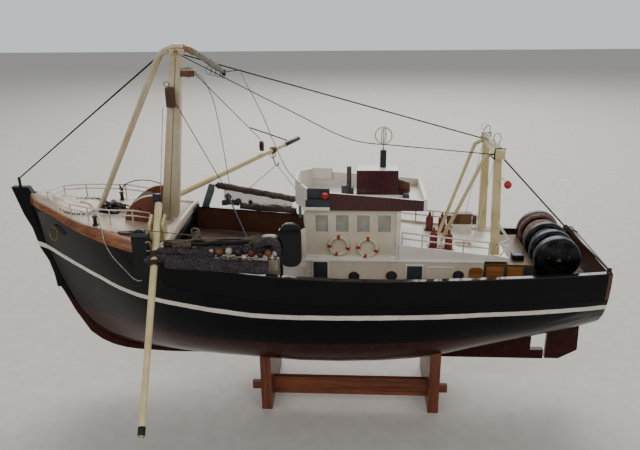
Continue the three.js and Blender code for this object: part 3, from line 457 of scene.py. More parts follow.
# Cradle: stained hardwood under thin varnish, its stretcher's grain fore and aft, its boards' upright
CRADLE = timber("stained_hardwood_cradle", "#8a4a2a", "#552b18", 0.36)
CRADLE_BOARDS = timber("stained_hardwood_end_grain_boards", "#7f4426", "#4e2715", 0.38, along="Z")
# Trawl shoes: dipped in black gloss, so round at the edges and without brush marks
SHOE = enamel("dipped_black_gloss_enamel", "#08080b", "#0f0f14", "#1d1d24", 0.2, lift=0.02,
              Specular_IOR_Level=0.3)
# Small fittings: blackened brass and mild steel, a broken sheen
BLACK_METAL = metal("blackened_brass_fittings", "#101114", "#26262a", 0.32, 0.55)
# Far trawl gear: blued steel plate gone dull
GREY_METAL = metal("blued_steel_plate", "#7f8d94", "#616c74", 0.34, 0.45)
# Rails: soft wire under pale paint
RAIL = metal("pale_painted_rail_wire", "#d6c8bf", "#b3a59c", 0.4, 0.15)
# Hooks and wire turns: bare drawn steel, dulled
WIRE = metal("dull_steel_wire", "#8a8680", "#5e5853", 0.36, 0.85)
# Discs of the net drum: blackened steel, rubbed bright in patches
RUBBED_BLACK = metal("rubbed_blackened_steel_drum", "#131417", "#34363b", 0.3, 0.75)
# Porthole rims, eyes and valves: brass gone brown, still shiny
BRASS = metal("aged_brass", "#8a7440", "#5a4a2a", 0.34, 0.95)
# Fine net, about 2 mm from knot to knot where it is bundled: matt, with painted shade in its gaps and folds
NET = netting("dark_purple_brown_netting", "#4a4044", "#110d0e", 2.2)
RAIL_NET = netting("dark_brown_netting", "#65544c", "#1d1512", 2.2)
ROLLED_NET = netting("brown_pink_netting", "#8a695c", "#2c1e1b", 2)
# The same net hung open, drawn with meshes of 3.4 mm so that they show
HUNG_NET = lattice("open_grey_netting", "#8d8681", 3.4, 0.62)
# Cords and ropes: matt twine, two tones of strand
CORD = twine("grey_cotton_twine", "#b8b0a2", "#7f776b")
ROPE = twine("dark_brown_hemp_rope", "#42302a", "#211713")
TAN_ROPE = twine("grey_brown_hemp_rope", "#76675a", "#4a3e35")
WHITE_CORD = twine("white_cotton_cord", "#e9e4d8", "#b9b2a4")
# Twine bundled at the masthead: old and grey
GREY_TWINE = twine("grey_weathered_twine", "#a79f96", "#6d6660", 1.1)
# Cotton tape round the masthead: matt and rust-stained
TAPE = twine("rust_stained_cotton_tape", "#a27c58", "#7b5a3d", 1.2)


def float_paint(name, colour, dark):
    """Painted cork float, matt, dirty in its pores."""
    return enamel(name, colour, dark, dark, 0.5, patch=6, brush=1.2, lift=0.12)


# Floats, by the colour of their paint; the red and brown ones painted darker and duller as painted shade, for
# the shade they lie in
FLOAT_WHITE = float_paint("white_painted_cork", "#cdc7ba", "#9f9584")
FLOAT_RED = float_paint("red_painted_cork", "#6b2420", "#471713")
FLOAT_BROWN = float_paint("orange_brown_cork", "#7f5230", "#57341d")
FLOAT_DARK = float_paint("black_painted_cork", "#1c1a1c", "#2e2a2a")


def windows():
    """Clear acrylic sheet, a little milky with age."""
    made, tree, place = blank("milky_clear_acrylic")
    haze = node(tree, "ShaderNodeTexNoise", {"Vector": place, "Scale": per_mm(8), "Detail": 3.0})
    tone = node(tree, "ShaderNodeValToRGB", {"Fac": haze.outputs["Fac"]},
                stops=[(0.3, "#cfcbc0"), (0.7, "#b9b4a8")])
    surface(tree, tone.outputs["Color"], spread(tree, haze.outputs["Fac"], 0.1, 0.25), haze.outputs["Fac"],
            0.02, Alpha=0.45, IOR=1.49)
    return made


PANE = windows()

# Materials of the CAD nodes that show as they are
SHOWN = {
    "stem_keel": HULL, "rudder": HULL, "main_deck": DECK, "stern_locker": PANEL,
    "bow_rail_port": RAIL, "bow_rail_starboard": RAIL, "boat_rail_port": RAIL, "boat_rail_starboard": RAIL,
    "forestays": BLACK_METAL, "aft_stay": ROPE,
    "mast_leg_port": MASTS, "mast_leg_starboard": MASTS, "boom_rest": SPAR,
    "winch_cheek_port": TERRACOTTA, "winch_cheek_starboard": TERRACOTTA,
    "drum_stand_port": BLACK_METAL, "drum_stand_starboard": BLACK_METAL,
    "port_shoe_fore": SHOE, "port_shoe_aft": SHOE, "port_beam": BLACK_METAL,
    "starboard_beam": BLACK_METAL,
    "starboard_shoe_fore": GREY_METAL, "starboard_shoe_aft": GREY_METAL,
    "boom_post_port": NAVY, "boom_post_starboard": NAVY,
    "deckhouse": HOUSE, "wheelhouse_front": HOUSE, "wheelhouse_back": HOUSE, "boat_deck": TRIM,
    "fish_box": BOX_WOOD,
    "bottles_port": BOTTLE, "bottles_starboard": BOTTLE,
    "cradle_board_fore": CRADLE_BOARDS, "cradle_board_aft": CRADLE_BOARDS, "cradle_stretcher": CRADLE,
}
for name, material in SHOWN.items():
    shown = frame["nodes"][name].data
    shown.materials.clear()
    shown.materials.append(material)


def finish_piece(piece, name, material, body="boat", smooth=40):
    """Names a piece, sets its place into its mesh, smooths it, and lets it ride on its body, if any."""
    piece.name = name
    piece.data.name = name
    piece.data.materials.clear()
    piece.data.materials.append(material)
    pick(piece)
    bpy.ops.object.transform_apply(location=True, rotation=True, scale=True)
    if smooth:
        bpy.ops.object.shade_smooth_by_angle(angle=math.radians(smooth))
    if body:
        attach(piece, body)


# The three slack cords, at the places their solids have

BOW_LINE = [
    (-249.5, 4, 234.2), (-245.5, 5.6, 232.8), (-240, 4.5, 231.7), (-235, -0.5, 230.6), (-230, -8, 229.6),
    (-222.7, -19.5, 227.6), (-217, -29, 225.8), (-211.5, -39, 223.7), (-206.5, -49, 222.2),
    (-202, -58, 220.4), (-199.5, -63.4, 217.8), (-197.6, -66.6, 214.2), (-195.4, -68, 209.6),
    (-192.3, -69.8, 204.6), (-188.1, -72, 199.2), (-181.2, -75, 192.7), (-174.2, -78, 186.9),
    (-168.7, -80.6, 182.2), (-163, -83.2, 179.4), (-158.5, -84.4, 178.9), (-156, -84.7, 180),
]
MAST_LINE = [
    (-104.9, 0.8, 375.6), (-104.2, 6, 374.2), (-103.4, 13, 371.2), (-102.6, 20, 367.4), (-101.8, 27.1, 362.2),
    (-101, 33.8, 356.6), (-100.4, 40, 350.4), (-99.5, 46.4, 342), (-98.7, 52.3, 331.6), (-97.9, 58.2, 318),
    (-97.2, 63.4, 302.8), (-96.6, 67.8, 288.6), (-96, 71.9, 274.4), (-95.5, 75.3, 262), (-95, 78.4, 250.2),
    (-94.6, 81.2, 240), (-94.4, 83.2, 234), (-94.3, 84.6, 229.2),
]
STAY_LINE = [
    (-59.6, 9.2, 375.4), (-57.2, 7.8, 371.4), (-53, 5.2, 363.2), (-48.2, 2.2, 355), (-43.4, -0.7, 346.5),
    (-38.8, -3.5, 337.8), (-34.2, -6.4, 328.8), (-30.3, -8.8, 319.6), (-26.7, -11, 310.7),
    (-23, -13.2, 302.6), (-19.4, -15.5, 294.8), (-15.8, -17.8, 287.6), (-12, -20.1, 280.9),
    (-7.8, -22.7, 275.6), (-3.3, -25.5, 271.4), (1, -28.2, 268.2), (4.6, -30.4, 266.7),
]
CORD_RADIUS = 0.5
ROUTES = {"bow_line": BOW_LINE, "mast_line": MAST_LINE, "stay_line": STAY_LINE}


def drawn_line(name, points, radius, sides=3):
    """One open smooth curve through the points, round in section."""
    curve = bpy.data.curves.new(name, "CURVE")
    curve.dimensions = "3D"
    curve.bevel_depth = radius * MM
    curve.bevel_resolution = sides
    curve.use_fill_caps = True
    spline = curve.splines.new("BEZIER")
    spline.bezier_points.add(len(points) - 1)
    for spot, place in zip(spline.bezier_points, points):
        spot.co = at(*place)
        spot.handle_left_type = spot.handle_right_type = "AUTO"
    made = bpy.data.objects.new(name, curve)
    bpy.context.scene.collection.objects.link(made)
    return made


for name, points in ROUTES.items():
    cord = drawn_line(name + "_cord", points, CORD_RADIUS)
    cord.data.materials.append(CORD)
    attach(cord, "boat")
    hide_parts(name)


# Pieces over the CAD

def over(node_name, name, material, body="boat", smooth=35, edge=0.0):
    """A copy of a CAD node with its points merged, its edges eased and its shading smoothed."""
    pick(frame["nodes"][node_name])
    bpy.ops.object.duplicate()
    piece = bpy.context.object
    for key in list(piece.keys()):
        if key.startswith("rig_"):
            del piece[key]
    bpy.ops.object.parent_clear(type="CLEAR_KEEP_TRANSFORM")
    edit(piece)
    bpy.ops.mesh.remove_doubles(threshold=2 * TOUCHING)
    bpy.ops.mesh.dissolve_limited(angle_limit=math.radians(1))
    fresh()
    pick(piece)
    if edge:
        bevel = piece.modifiers.new("edge", "BEVEL")
        bevel.width = edge * MM
        bevel.segments = 2
        bevel.limit_method = "ANGLE"
        bevel.angle_limit = math.radians(40)
        bpy.ops.object.modifier_apply(modifier="edge")
    finish_piece(piece, name, material, body, smooth)
    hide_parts(node_name)
    return piece


over("hull", "planked_hull", HULL, smooth=50)
over("whaleback", "whaleback_deck", FOREDECK, smooth=50)
# Outside the bulwarks are black like the topsides; inside they are red-brown
for side, (out_x, out_y) in (("port", (0, -1)), ("starboard", (0, 1)), ("stern", (1, 0))):
    planking = over("bulwark_" + side, "bulwark_planking_" + side, BULWARK, smooth=40)
    planking.data.materials.append(HULL)
    for face in planking.data.polygons:
        if face.normal.x * out_x + face.normal.y * out_y > 0.5:
            face.material_index = 1
over("mast", "square_mast", MASTS, edge=0.6)
over("port_boom", "port_boom_spar", SPAR, body="port_boom", smooth=60)
over("starboard_boom", "starboard_boom_spar", SPAR, body="starboard_boom", smooth=60)
barrel = over("winch_drum", "winch_barrel", BLACK_METAL, body="winch_drum", edge=0.4)
barrel.data.materials.append(TERRACOTTA)
# The flanges at its ends lie outside this, in metres from the middle
FLANGE_FROM = 0.0215
for face in barrel.data.polygons:
    if abs(face.center.y) > FLANGE_FROM:
        face.material_index = 1
over("gantry", "stern_gantry", SPAR, edge=0.5)
over("gantry_leg_port", "gantry_leg_rod_port", SPAR, smooth=60)
over("gantry_leg_starboard", "gantry_leg_rod_starboard", SPAR, smooth=60)
over("wheelhouse_side_port", "wheelhouse_wall_port", HOUSE)
over("wheelhouse_side_starboard", "wheelhouse_wall_starboard", HOUSE)
tray = over("roof_tray", "roof_tray_boards", MAROON)


# How new pieces are shaped

def block(x0, x1, y0, y1, z0, z1, edge=0.5):
    """A block cut to size, its edges eased."""
    fresh()
    bpy.ops.mesh.primitive_cube_add(size=1, location=at((x0 + x1) / 2, (y0 + y1) / 2, (z0 + z1) / 2),
                                    scale=((x1 - x0) * MM, (y1 - y0) * MM, (z1 - z0) * MM))
    piece = bpy.context.object
    bpy.ops.object.transform_apply(location=True, rotation=True, scale=True)
    edit(piece)
    bpy.ops.mesh.bevel(offset=min(edge, 0.4 * min(x1 - x0, y1 - y0, z1 - z0)) * MM, segments=2,
                       affect="EDGES")
    fresh()
    return piece


def edges_through(points):
    """A run of edges drawn corner by corner, left selected in edit mode."""
    fresh()
    bpy.ops.mesh.primitive_plane_add(size=MM, location=points[0])
    piece = bpy.context.object
    bpy.ops.object.transform_apply(location=True, rotation=True, scale=True)
    bpy.ops.object.mode_set(mode="EDIT")
    bpy.ops.mesh.select_all(action="SELECT")
    bpy.ops.mesh.merge(type="CENTER")
    for a, b in zip(points, points[1:]):
        bpy.ops.mesh.extrude_region_move(TRANSFORM_OT_translate={"value": b - a})
    bpy.ops.mesh.select_all(action="SELECT")
    return piece


def plate(corners, lift, edge=0.0):
    """A flat board sawn to an outline; lift is its thickness, as a step in millimetres."""
    points = [at(*corner) for corner in corners]
    piece = edges_through(points + points[:1])
    bpy.ops.mesh.remove_doubles(threshold=TOUCHING)
    bpy.ops.mesh.edge_face_add()
    bpy.ops.mesh.extrude_region_move(TRANSFORM_OT_translate={"value": Vector(lift) * MM})
    bpy.ops.mesh.select_all(action="SELECT")
    bpy.ops.mesh.normals_make_consistent(inside=False)
    if edge:
        bpy.ops.mesh.bevel(offset=edge * MM, segments=2, affect="EDGES")
    fresh()
    return piece


def strip(points, across, lift):
    """A bent batten: the run of points is widened by one step and thickened by the other."""
    piece = edges_through([at(*point) for point in points])
    bpy.ops.mesh.extrude_region_move(TRANSFORM_OT_translate={"value": Vector(across) * MM})
    bpy.ops.mesh.select_all(action="SELECT")
    bpy.ops.mesh.extrude_region_move(TRANSFORM_OT_translate={"value": Vector(lift) * MM})
    bpy.ops.mesh.select_all(action="SELECT")
    bpy.ops.mesh.normals_make_consistent(inside=False)
    fresh()
    return piece


def turned(profile, foot, axis=(0, 0, 1), sides=24):
    """A piece turned on a lathe. Profile rows are the distance along the axis and the radius."""
    along = Vector(axis).normalized()
    out = along.orthogonal().normalized()
    base = at(*foot)
    piece = edges_through([base + along * a * MM + out * r * MM for a, r in profile])
    bpy.ops.mesh.spin(steps=sides, angle=math.tau, center=base, axis=along)
    bpy.ops.mesh.select_all(action="SELECT")
    bpy.ops.mesh.remove_doubles(threshold=TOUCHING)
    bpy.ops.mesh.normals_make_consistent(inside=False)
    fresh()
    return piece


def line(points, radius, sides=2, taut=False):
    """A round wire or rope through the points, as a mesh; a taut one is straight between them."""
    made = drawn_line("line", points, radius, sides)
    if taut:
        for spot in made.data.splines[0].bezier_points:
            spot.handle_left_type = spot.handle_right_type = "VECTOR"
    made.data.resolution_u = 1 if taut else 6
    pick(made)
    bpy.ops.object.convert(target="MESH")
    piece = bpy.context.object
    edit(piece)
    bpy.ops.mesh.remove_doubles(threshold=TOUCHING)
    bpy.ops.mesh.normals_make_consistent(inside=False)
    fresh()
    return piece


def ring(centre, radius, thick, facing=(0, 1, 0), squeeze=1.0):
    """A round ring of wire or rope that faces one way; squeeze narrows it sideways."""
    fresh()
    turn = Vector(facing).to_track_quat("Z", "Y").to_euler()
    bpy.ops.mesh.primitive_torus_add(location=at(*centre), rotation=turn, major_radius=radius * MM,
                                     minor_radius=thick * MM, major_segments=28, minor_segments=8)
    piece = bpy.context.object
    piece.scale = (squeeze, 1, 1)
    bpy.ops.object.transform_apply(location=True, rotation=True, scale=True)
    return piece


def joined(*pieces):
    """Several parts made one piece."""
    fresh()
    for part in pieces:
        part.select_set(True)
    bpy.context.view_layer.objects.active = pieces[0]
    bpy.ops.object.join()
    return bpy.context.object


def mirrored(piece):
    """The same piece for the other side, across the middle line."""
    pick(piece)
    bpy.ops.object.duplicate()
    other = bpy.context.object
    other.parent = None
    other.matrix_world = Matrix.Identity(4)
    edit(other)
    bpy.ops.transform.mirror(orient_type="GLOBAL", constraint_axis=(False, True, False),
                             center_override=(0, 0, 0))
    bpy.ops.mesh.flip_normals()
    fresh()
    return other


def both_sides(piece, name, material, body="boat", smooth=40):
    """Finishes a port piece and its starboard twin."""
    other = mirrored(piece)
    finish_piece(piece, name + "_port", material, body, smooth)
    finish_piece(other, name + "_starboard", material, body, smooth)


def seized(a, b, radius, pitch, thick):
    """Turns of twine wound round a bar from a to b, in millimetres, as points of one spiral."""
    start, stop = Vector(a), Vector(b)
    along = (stop - start).normalized()
    out = along.orthogonal().normalized()
    side = along.cross(out)
    turns = (stop - start).length / pitch
    steps = max(8, int(turns * 10))
    points = []
    for i in range(steps + 1):
        angle = math.tau * turns * i / steps
        spot = start + (stop - start) * i / steps + (out * math.cos(angle) + side * math.sin(angle)) * radius
        points.append(tuple(spot))
    return line(points, thick, sides=1)


# Hull and foredeck trim

# Sheer of the well's bulwarks. Rows: distance from amidships, half-breadth, height of the top
SHEER = [(-134, 84.3, 202), (-90, 91.5, 196.2), (-45, 95.2, 191.6), (0, 95.8, 188), (45, 93.6, 185),
         (90, 89.2, 182.7), (128, 84.8, 181.4), (166, 80, 180.6), (205, 75.8, 180.6), (250, 72, 181.3),
         (290, 69.3, 183), (315, 67.9, 184.6)]
caprail = strip([(x, -b + 0.2, z + 0.1) for x, b, z in SHEER], (0, 5.4, 0), (0, 0, 1.1))
both_sides(caprail, "caprail", CAPRAIL)
finish_piece(block(315, 319.8, -67.2, 67.2, 184.4, 186.2), "caprail_stern", CAPRAIL)
# After edge of the whaleback, a pale beam bent to its crown. Rows: half-breadth, height
AFTER_EDGE = [(-84, 203.5), (-81.8, 208.2), (-78.5, 210.5), (-73, 212.1), (-42, 214.2), (0, 214.8),
              (42, 214.2), (73, 212.1), (78.5, 210.5), (81.8, 208.2), (84, 203.5)]
finish_piece(strip([(-136.2, y, z + 0.2) for y, z in AFTER_EDGE], (2.6, 0, 0), (0, 0, -3.4)),
             "whaleback_after_beam", TRIM)
# Hawse pipe rings on each bow, of worn brass, and the long fairleads sunk in the foredeck
both_sides(ring((-269.5, -27.9, 208), 7.6, 0.8, (-0.48, -0.87, 0.1), 0.9), "hawse_ring", BRASS)
slot_edge = [(-176.5 + 10.5 * math.cos(a), -53.5 + 3.6 * math.sin(a),
              220.1 - 0.21 * math.sin(a) - 0.1 * math.cos(a))
             for a in [math.tau * i / 20 for i in range(20)]]
# Each sunk slot is drawn as a flat dark maroon sheet inside a rim of line: painted shade of the recess
fairlead = joined(plate(slot_edge, (0, 0, 0.5)), line(slot_edge + slot_edge[:1], 0.55))
both_sides(fairlead, "fairlead", MAROON)


def chain(name, points, wide=1.9, thick=0.42):
    """Stud-less cable chain laid along a run, each link turned a quarter from the last."""
    pitch = 2.6 * wide / 1.9
    links = []
    for (x0, y0, z0), (x1, y1, z1) in zip(points, points[1:]):
        run = Vector((x1 - x0, y1 - y0, z1 - z0))
        count = max(1, round(run.length / pitch))
        for i in range(count):
            spot = Vector((x0, y0, z0)) + run * (i + 0.5) / count
            facing = (0.25, 0.2, 1) if len(links) % 2 else (-run.y, run.x, 0.3)
            links.append(ring(tuple(spot), wide, thick, facing, 0.72))
    finish_piece(joined(*links), name, BLACK_METAL)


chain("cable_port", [(-262, -22, 232.8), (-252, -27, 232), (-243, -28, 230.6), (-233, -24, 229.6),
                     (-224, -15, 229)])
chain("cable_starboard", [(-256, 11, 234.6), (-247, 22, 231.6), (-238, 28, 229.9), (-227, 22, 228.6),
                          (-221, 12, 228.6)])
# Anchor windlass: a bed, two cheeks, a low barrel with warping ends, and rope thrown over it
bed = block(-226, -203, -11, 11, 223.4, 227, 0.8)
cheeks = [block(-220, -209, y - 1.3, y + 1.3, 226.6, 232.6, 1.2) for y in (-8, 8)]
barrel = turned([(-15, 0), (-15, 3), (-13.5, 3.4), (-10.5, 2), (-7, 2), (-6.8, 3.4), (-3.5, 2.6),
                 (3.5, 2.6), (6.8, 3.4), (7, 2), (10.5, 2), (13.5, 3.4), (15, 3), (15, 0)],
                (-214.5, 0, 230.2), (0, 1, 0), 18)
finish_piece(joined(bed, *cheeks, barrel), "anchor_windlass", BLACK_METAL)
# Rows: centre, radius, way that the turn faces
TURNS = [((-203, -2, 227.6), 9.5, (0.1, 0.2, 1)), ((-206, 2, 229.2), 8, (-0.2, 0.1, 1)),
         ((-199, 3, 227.4), 8.5, (0.15, -0.1, 1)), ((-211, 4, 231.6), 6.5, (0.3, 0.3, 1)),
         ((-217, 1, 231.4), 7.5, (-0.2, 0.3, 1)), ((-204, 6, 229.8), 6, (0.5, 0.2, 1)),
         ((-194, -1, 226.6), 7, (0.05, 0.2, 1))]
finish_piece(joined(*[ring(spot, radius, 0.8, facing, 0.8) for spot, radius, facing in TURNS]),
             "coiled_warp", ROPE)
# A stiff wire sprung in an arc along the starboard rail
arc = [(-214, 39, 236), (-211, 38.6, 240.8), (-206.9, 38, 244.5), (-196.9, 38, 248.2), (-186.1, 38, 249.4),
       (-175.6, 38, 248.3), (-165.3, 38, 244.7), (-158, 38, 240)]
finish_piece(joined(line(arc, 0.6), ring((-213.6, 38.8, 238), 2.2, 0.7, (0.4, 1, 0.5)),
                    ring((-214.6, 39.4, 241), 1.8, 0.6, (1, 0.3, 0.4))), "sprung_wire", BLACK_METAL,
             smooth=60)
bollard = turned([(0, 0), (0, 3.4), (0.8, 3.4), (1.4, 2.1), (8, 1.9), (9, 2.9), (10.2, 2.6), (10.8, 0)],
                 (-215, -42, 223.4))
both_sides(bollard, "foredeck_bollard", BLACK_METAL)

# Winch: pale rims on the quadrants, wire on the barrel, caps on the boom posts
# The quadrant's corner, and the radius just outside its edge
CORNER_X, CORNER_Z, RIM_RADIUS = -157, 215, 34.1
arc = []
for i in range(11):
    angle = math.pi / 2 * (1 + i / 12)
    arc.append((CORNER_X + RIM_RADIUS * math.cos(angle), -21.4, CORNER_Z + RIM_RADIUS * math.sin(angle)))
both_sides(strip(arc, (0, 4.2, 0), (-0.3, 0, 0.7)), "quadrant_rim", SPAR)
# Each turn of wire is a ridge and a groove, one pitch along the barrel
PITCH_OF_TURNS, TURNS_ON_BARREL = 1.5, 21
ridges = [(-15.8, 9.4)]
for i in range(TURNS_ON_BARREL):
    ridges += [(-15.5 + PITCH_OF_TURNS * i, 10.7), (-14.75 + PITCH_OF_TURNS * i, 10.1)]
ridges += [(15.9, 9.4), (-15.8, 9.4)]
finish_piece(turned(ridges, (-174, 0, 233), (0, 1, 0), 20), "trawl_wire_turns", WIRE,
             body="winch_drum")
both_sides(block(-155.6, -147.4, -26, -21.5, 252, 253, 0.3), "post_cap", SHOE)

# Mast: seam between its two timbers, tackle blocks, masthead eyes and the taut lines from them

# A dark strip along the seam between the mast's two timbers: painted shade of its groove
finish_piece(strip([(-145.6, -6.4, 219), (-123.4, -5.7, 393)], (0.9, 0, 0), (0, -0.15, 0)), "mast_seam",
             GROOVE_SHADE)


def tackle(name, x, y, z, half, tall, axis, body="boat"):
    """A wooden tackle block: two cheeks, the sheave between them and its strop."""
    sheave = turned([(-0.7, 0), (-0.7, half * 0.8), (0, half * 0.7), (0.7, half * 0.8), (0.7, 0)],
                    (x, y, z), axis, 16)
    gap = Vector(axis) * 1.9
    wide = Vector((half, half, tall)) - Vector([abs(c) for c in axis]) * (half - 0.9)
    shells = [block(x + s * gap.x - wide.x, x + s * gap.x + wide.x, y + s * gap.y - wide.y,
                    y + s * gap.y + wide.y, z - wide.z, z + wide.z, 0.8) for s in (-1, 1)]
    strop = ring((x, y, z), tall + 0.4, 0.5, axis, half / tall)
    finish_piece(joined(*shells, sheave, strop), name, BLOCK_WOOD, body)


tackle("masthead_block_aft", -112.5, 0, 377, 6.4, 4.2, (0, 1, 0))
tackle("masthead_block_port", -131, -9.6, 353, 4.6, 10.2, (0, 1, 0))
both_sides(ring((-121.5, -9.2, 398.6), 1.7, 0.5, (0, 1, 0)), "masthead_eyes", BRASS)
finish_piece(turned([(0, 0), (0, 2.6), (1.6, 2.6), (2.4, 1.2), (2.6, 0)], (-122, 0, 403.2)),
             "masthead_button", MASTS)
finish_piece(ring((-134, -9.6, 366.5), 2.6, 0.5, (0, 1, 0)), "block_strop_ring", BRASS)
finish_piece(block(-120.4, -105.2, -4.4, -3.3, 373.2, 379.2, 0.4), "masthead_block_cheek", BLOCK_WOOD)

# The legs' heads are bent over to the cap in one sweep, and lashed to it
head = line([(-151.4, -6.4, 374.4), (-147.6, -6.5, 381.8), (-144, -6.6, 388.8), (-139.6, -6.3, 395.4),
             (-134.6, -5.9, 399.8), (-128, -5.4, 402.4), (-121, -4.6, 403.6), (-115, -3.8, 402.8)], 2.25,
            sides=3)
both_sides(head, "mast_leg_head", MASTS, smooth=60)

# Taut rigging that stays with the hull. Rows: name, radius, material, points
TAUT = [
    ("gear_tackle_fall", 0.45, ROPE, [(-125.4, -9, 345), (-98.5, 84.4, 222)]),
    ("gantry_stern_rope", 0.8, ROPE, [(207.5, -35, 296.5), (272, -53, 229.5), (317.6, -65.4, 187.4)]),
    ("gantry_string_port", 0.35, WHITE_CORD, [(200.5, -33.4, 297), (184, -41, 210)]),
    ("gantry_string_starboard", 0.35, WHITE_CORD, [(200.5, 33.4, 297), (188, 41, 210)]),
    ("beam_bridle_fore", 0.5, TAN_ROPE, [(-152, -78.4, 232.4), (-104, -82, 229), (-84, -82.8, 223.4)]),
    ("net_prop", 0.9, GREY_METAL, [(-96, 80, 217), (-72, 66, 165)]),
    ("mast_halyard", 0.4, CORD, [(-139.8, -10.2, 342.5), (-150.2, -9.2, 262), (-153.2, -8.4, 232),
                                 (-154.6, -8, 220.4)]),
]
for name, radius, material, points in TAUT:
    finish_piece(line(points, radius, taut=True), name, material, smooth=60)

# The near stay hangs in an easy sag
near_stay = [(-116.5, -4, 394), (-60, -5.4, 365), (0, -7, 334.8), (48, -8.6, 311.6), (66, -9.6, 306.4),
             (100, -14, 304), (146.5, -22, 301.6), (199.5, -35, 299.8)]
finish_piece(line(near_stay, 0.5), "near_stay", ROPE, smooth=60)

# Stained tape bent over the masthead, then a bundle of grey twine down the stays, looped at its end
tape = line([(-119, -2.6, 400.2), (-115.4, -2.4, 401.1), (-110.4, -1.2, 400), (-105, 0, 396.4)], 3.2, sides=3)
finish_piece(tape, "masthead_tape", TAPE, smooth=60)
bundle = []
# Yarns lie round the bundle's middle by the golden angle, each a little nearer to it
BUNDLE_RADIUS, YARN_TURN, YARN_CLOSER = 2.9, 2.4, 0.04
for i in range(11):
    out = BUNDLE_RADIUS * math.cos(YARN_TURN * i) * (1 - YARN_CLOSER * i)
    up = BUNDLE_RADIUS * math.sin(YARN_TURN * i) * (1 - YARN_CLOSER * i)
    bundle.append(line([(-108.4, 0.9 * out, 400 + 0.9 * up), (-100, 1.1 * out, 394.4 + 1.1 * up),
                        (-90, 1.3 * out, 387.6 + 1.2 * up), (-80, out, 380.8 + up),
                        (-74.6, 0.5 * out, 377 + 0.5 * up)], 0.75))
loops = [ring((-91 + 4.6 * i, -0.5 + 0.6 * i, 379 - 1.8 * i), 4.2 - 0.3 * i, 0.45, (0.3, 1, 0.3 * i - 0.2),
              0.8) for i in range(4)]
finish_piece(joined(*bundle, *loops), "masthead_lashing", GREY_TWINE, smooth=60)
clamp = joined(block(-77.4, -73.6, -1.6, 1.6, 373.6, 380, 0.6),
               line([(-75.4, 0, 377), (-67, 1, 378.2), (-58, 2, 379)], 0.5))
finish_piece(clamp, "stay_clamp", BLACK_METAL)

# Starboard boom fittings, which move with it, and the lines between it and the boat
BOOM_HEEL, BOOM_TIP = Vector((-148, 31, 233)), Vector((-21, 235, 253.5))


def on_boom(share):
    """A place on the starboard boom's middle line, as a share of its length."""
    return BOOM_HEEL + (BOOM_TIP - BOOM_HEEL) * share


BOOM_WAY = (BOOM_TIP - BOOM_HEEL).normalized()
finish_piece(turned([(-3, 3), (-3, 4.7), (-2, 5), (2, 5), (3, 4.7), (3, 3), (-3, 3)], tuple(on_boom(0.755)),
                    tuple(BOOM_WAY), 20), "boom_collar", BLOCK_WOOD, body="starboard_boom")
finish_piece(turned([(-33, 2.8), (-33, 3.4), (-1, 3.2), (0.4, 2.2), (0.6, 0), (-33, 0)],
                    tuple(on_boom(0.998)), tuple(BOOM_WAY), 16), "boom_tip_ferrule", BLACK_METAL,
             body="starboard_boom")
tackle("topping_lift_block", -64.5, 165, 259, 4.2, 6.5, (0.85, -0.53, 0), "starboard_boom")
finish_piece(turned([(-26, 0), (-26, 0.8), (26, 0.8), (26, 0)], (-54.7, 165, 275.2), (45.8, 0, -16.1), 10),
             "topping_lift_toggle", BLACK_METAL, body="starboard_boom")
hook = line([(-52.6, 184, 244.4), (-52, 184, 236.4), (-50.4, 184, 231.4), (-48.6, 184, 227.8),
             (-46.6, 184, 226.8), (-45.2, 184, 229), (-46, 184, 231.4)], 0.8, sides=3)
finish_piece(joined(hook, ring((-52.6, 184, 241.6), 3.6, 0.6, (0, 1, 0))), "boom_hook", WIRE,
             body="starboard_boom")
# Rows: name, radius, material, start on the hull, end on the boom
CROSSING = [
    ("topping_lift", 0.45, ROPE, (-106, 1.5, 375.4), (-65.4, 163.4, 268.4)),
    ("hook_bridle_fore", 0.4, ROPE, (-72, 87.6, 223.2), (-48.6, 183.6, 227.4)),
    ("hook_bridle_aft", 0.4, ROPE, (-8.4, 87.6, 217.2), (-47, 183.6, 227.4)),
]
for name, radius, material, a, b in CROSSING:
    crossing = line([tuple(Vector(a).lerp(Vector(b), i / 16)) for i in range(17)], radius)
    finish_piece(crossing, name, material, body=None, smooth=60)
    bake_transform(crossing)

# Port boom: tip ferrule and the seizings where its lashings were made fast
PORT_HEEL, PORT_TIP = Vector((-148, -31, 243.5)), Vector((-112, -248, 117))
PORT_WAY = (PORT_TIP - PORT_HEEL).normalized()
finish_piece(turned([(-8, 2.6), (-8, 3.3), (-1, 3.1), (0, 2.4), (0, 0), (-8, 0)], tuple(PORT_TIP),
                    tuple(PORT_WAY), 16), "port_boom_ferrule", BLACK_METAL, body="port_boom")
for number, (low, high) in enumerate([(0.255, 0.285), (0.3, 0.325)]):
    finish_piece(seized(PORT_HEEL.lerp(PORT_TIP, low), PORT_HEEL.lerp(PORT_TIP, high), 4.4, 1.5, 0.75),
                 "port_boom_seizing_%d" % number, ROPE, body="port_boom", smooth=60)

# Deckhouse doors, portholes and panels on both sides. Rows: name, x from and to, z from and to
DOORS = [("fore", 17, 32, 163, 185.2), ("aft", 116, 132, 160, 181.5)]
for name, x0, x1, z0, z1 in DOORS:
    frame_board = block(x0 - 1.6, x1 + 1.6, -45.2, -43.9, z0 - 0.6, z1 + 1.4, 0.5)
    both_sides(frame_board, "door_frame_" + name, TRIM)
    leaf = block(x0, x1, -46, -44.9, z0, z1, 0.4)
    handle = turned([(0, 0), (0, 0.9), (1.4, 0.6), (2.2, 1.0), (2.6, 0)], (x1 - 2, -45.8, (z0 + z1) / 2),
                    (0, -1, 0), 12)
    both_sides(joined(leaf, handle), "door_leaf_" + name, SLATE)
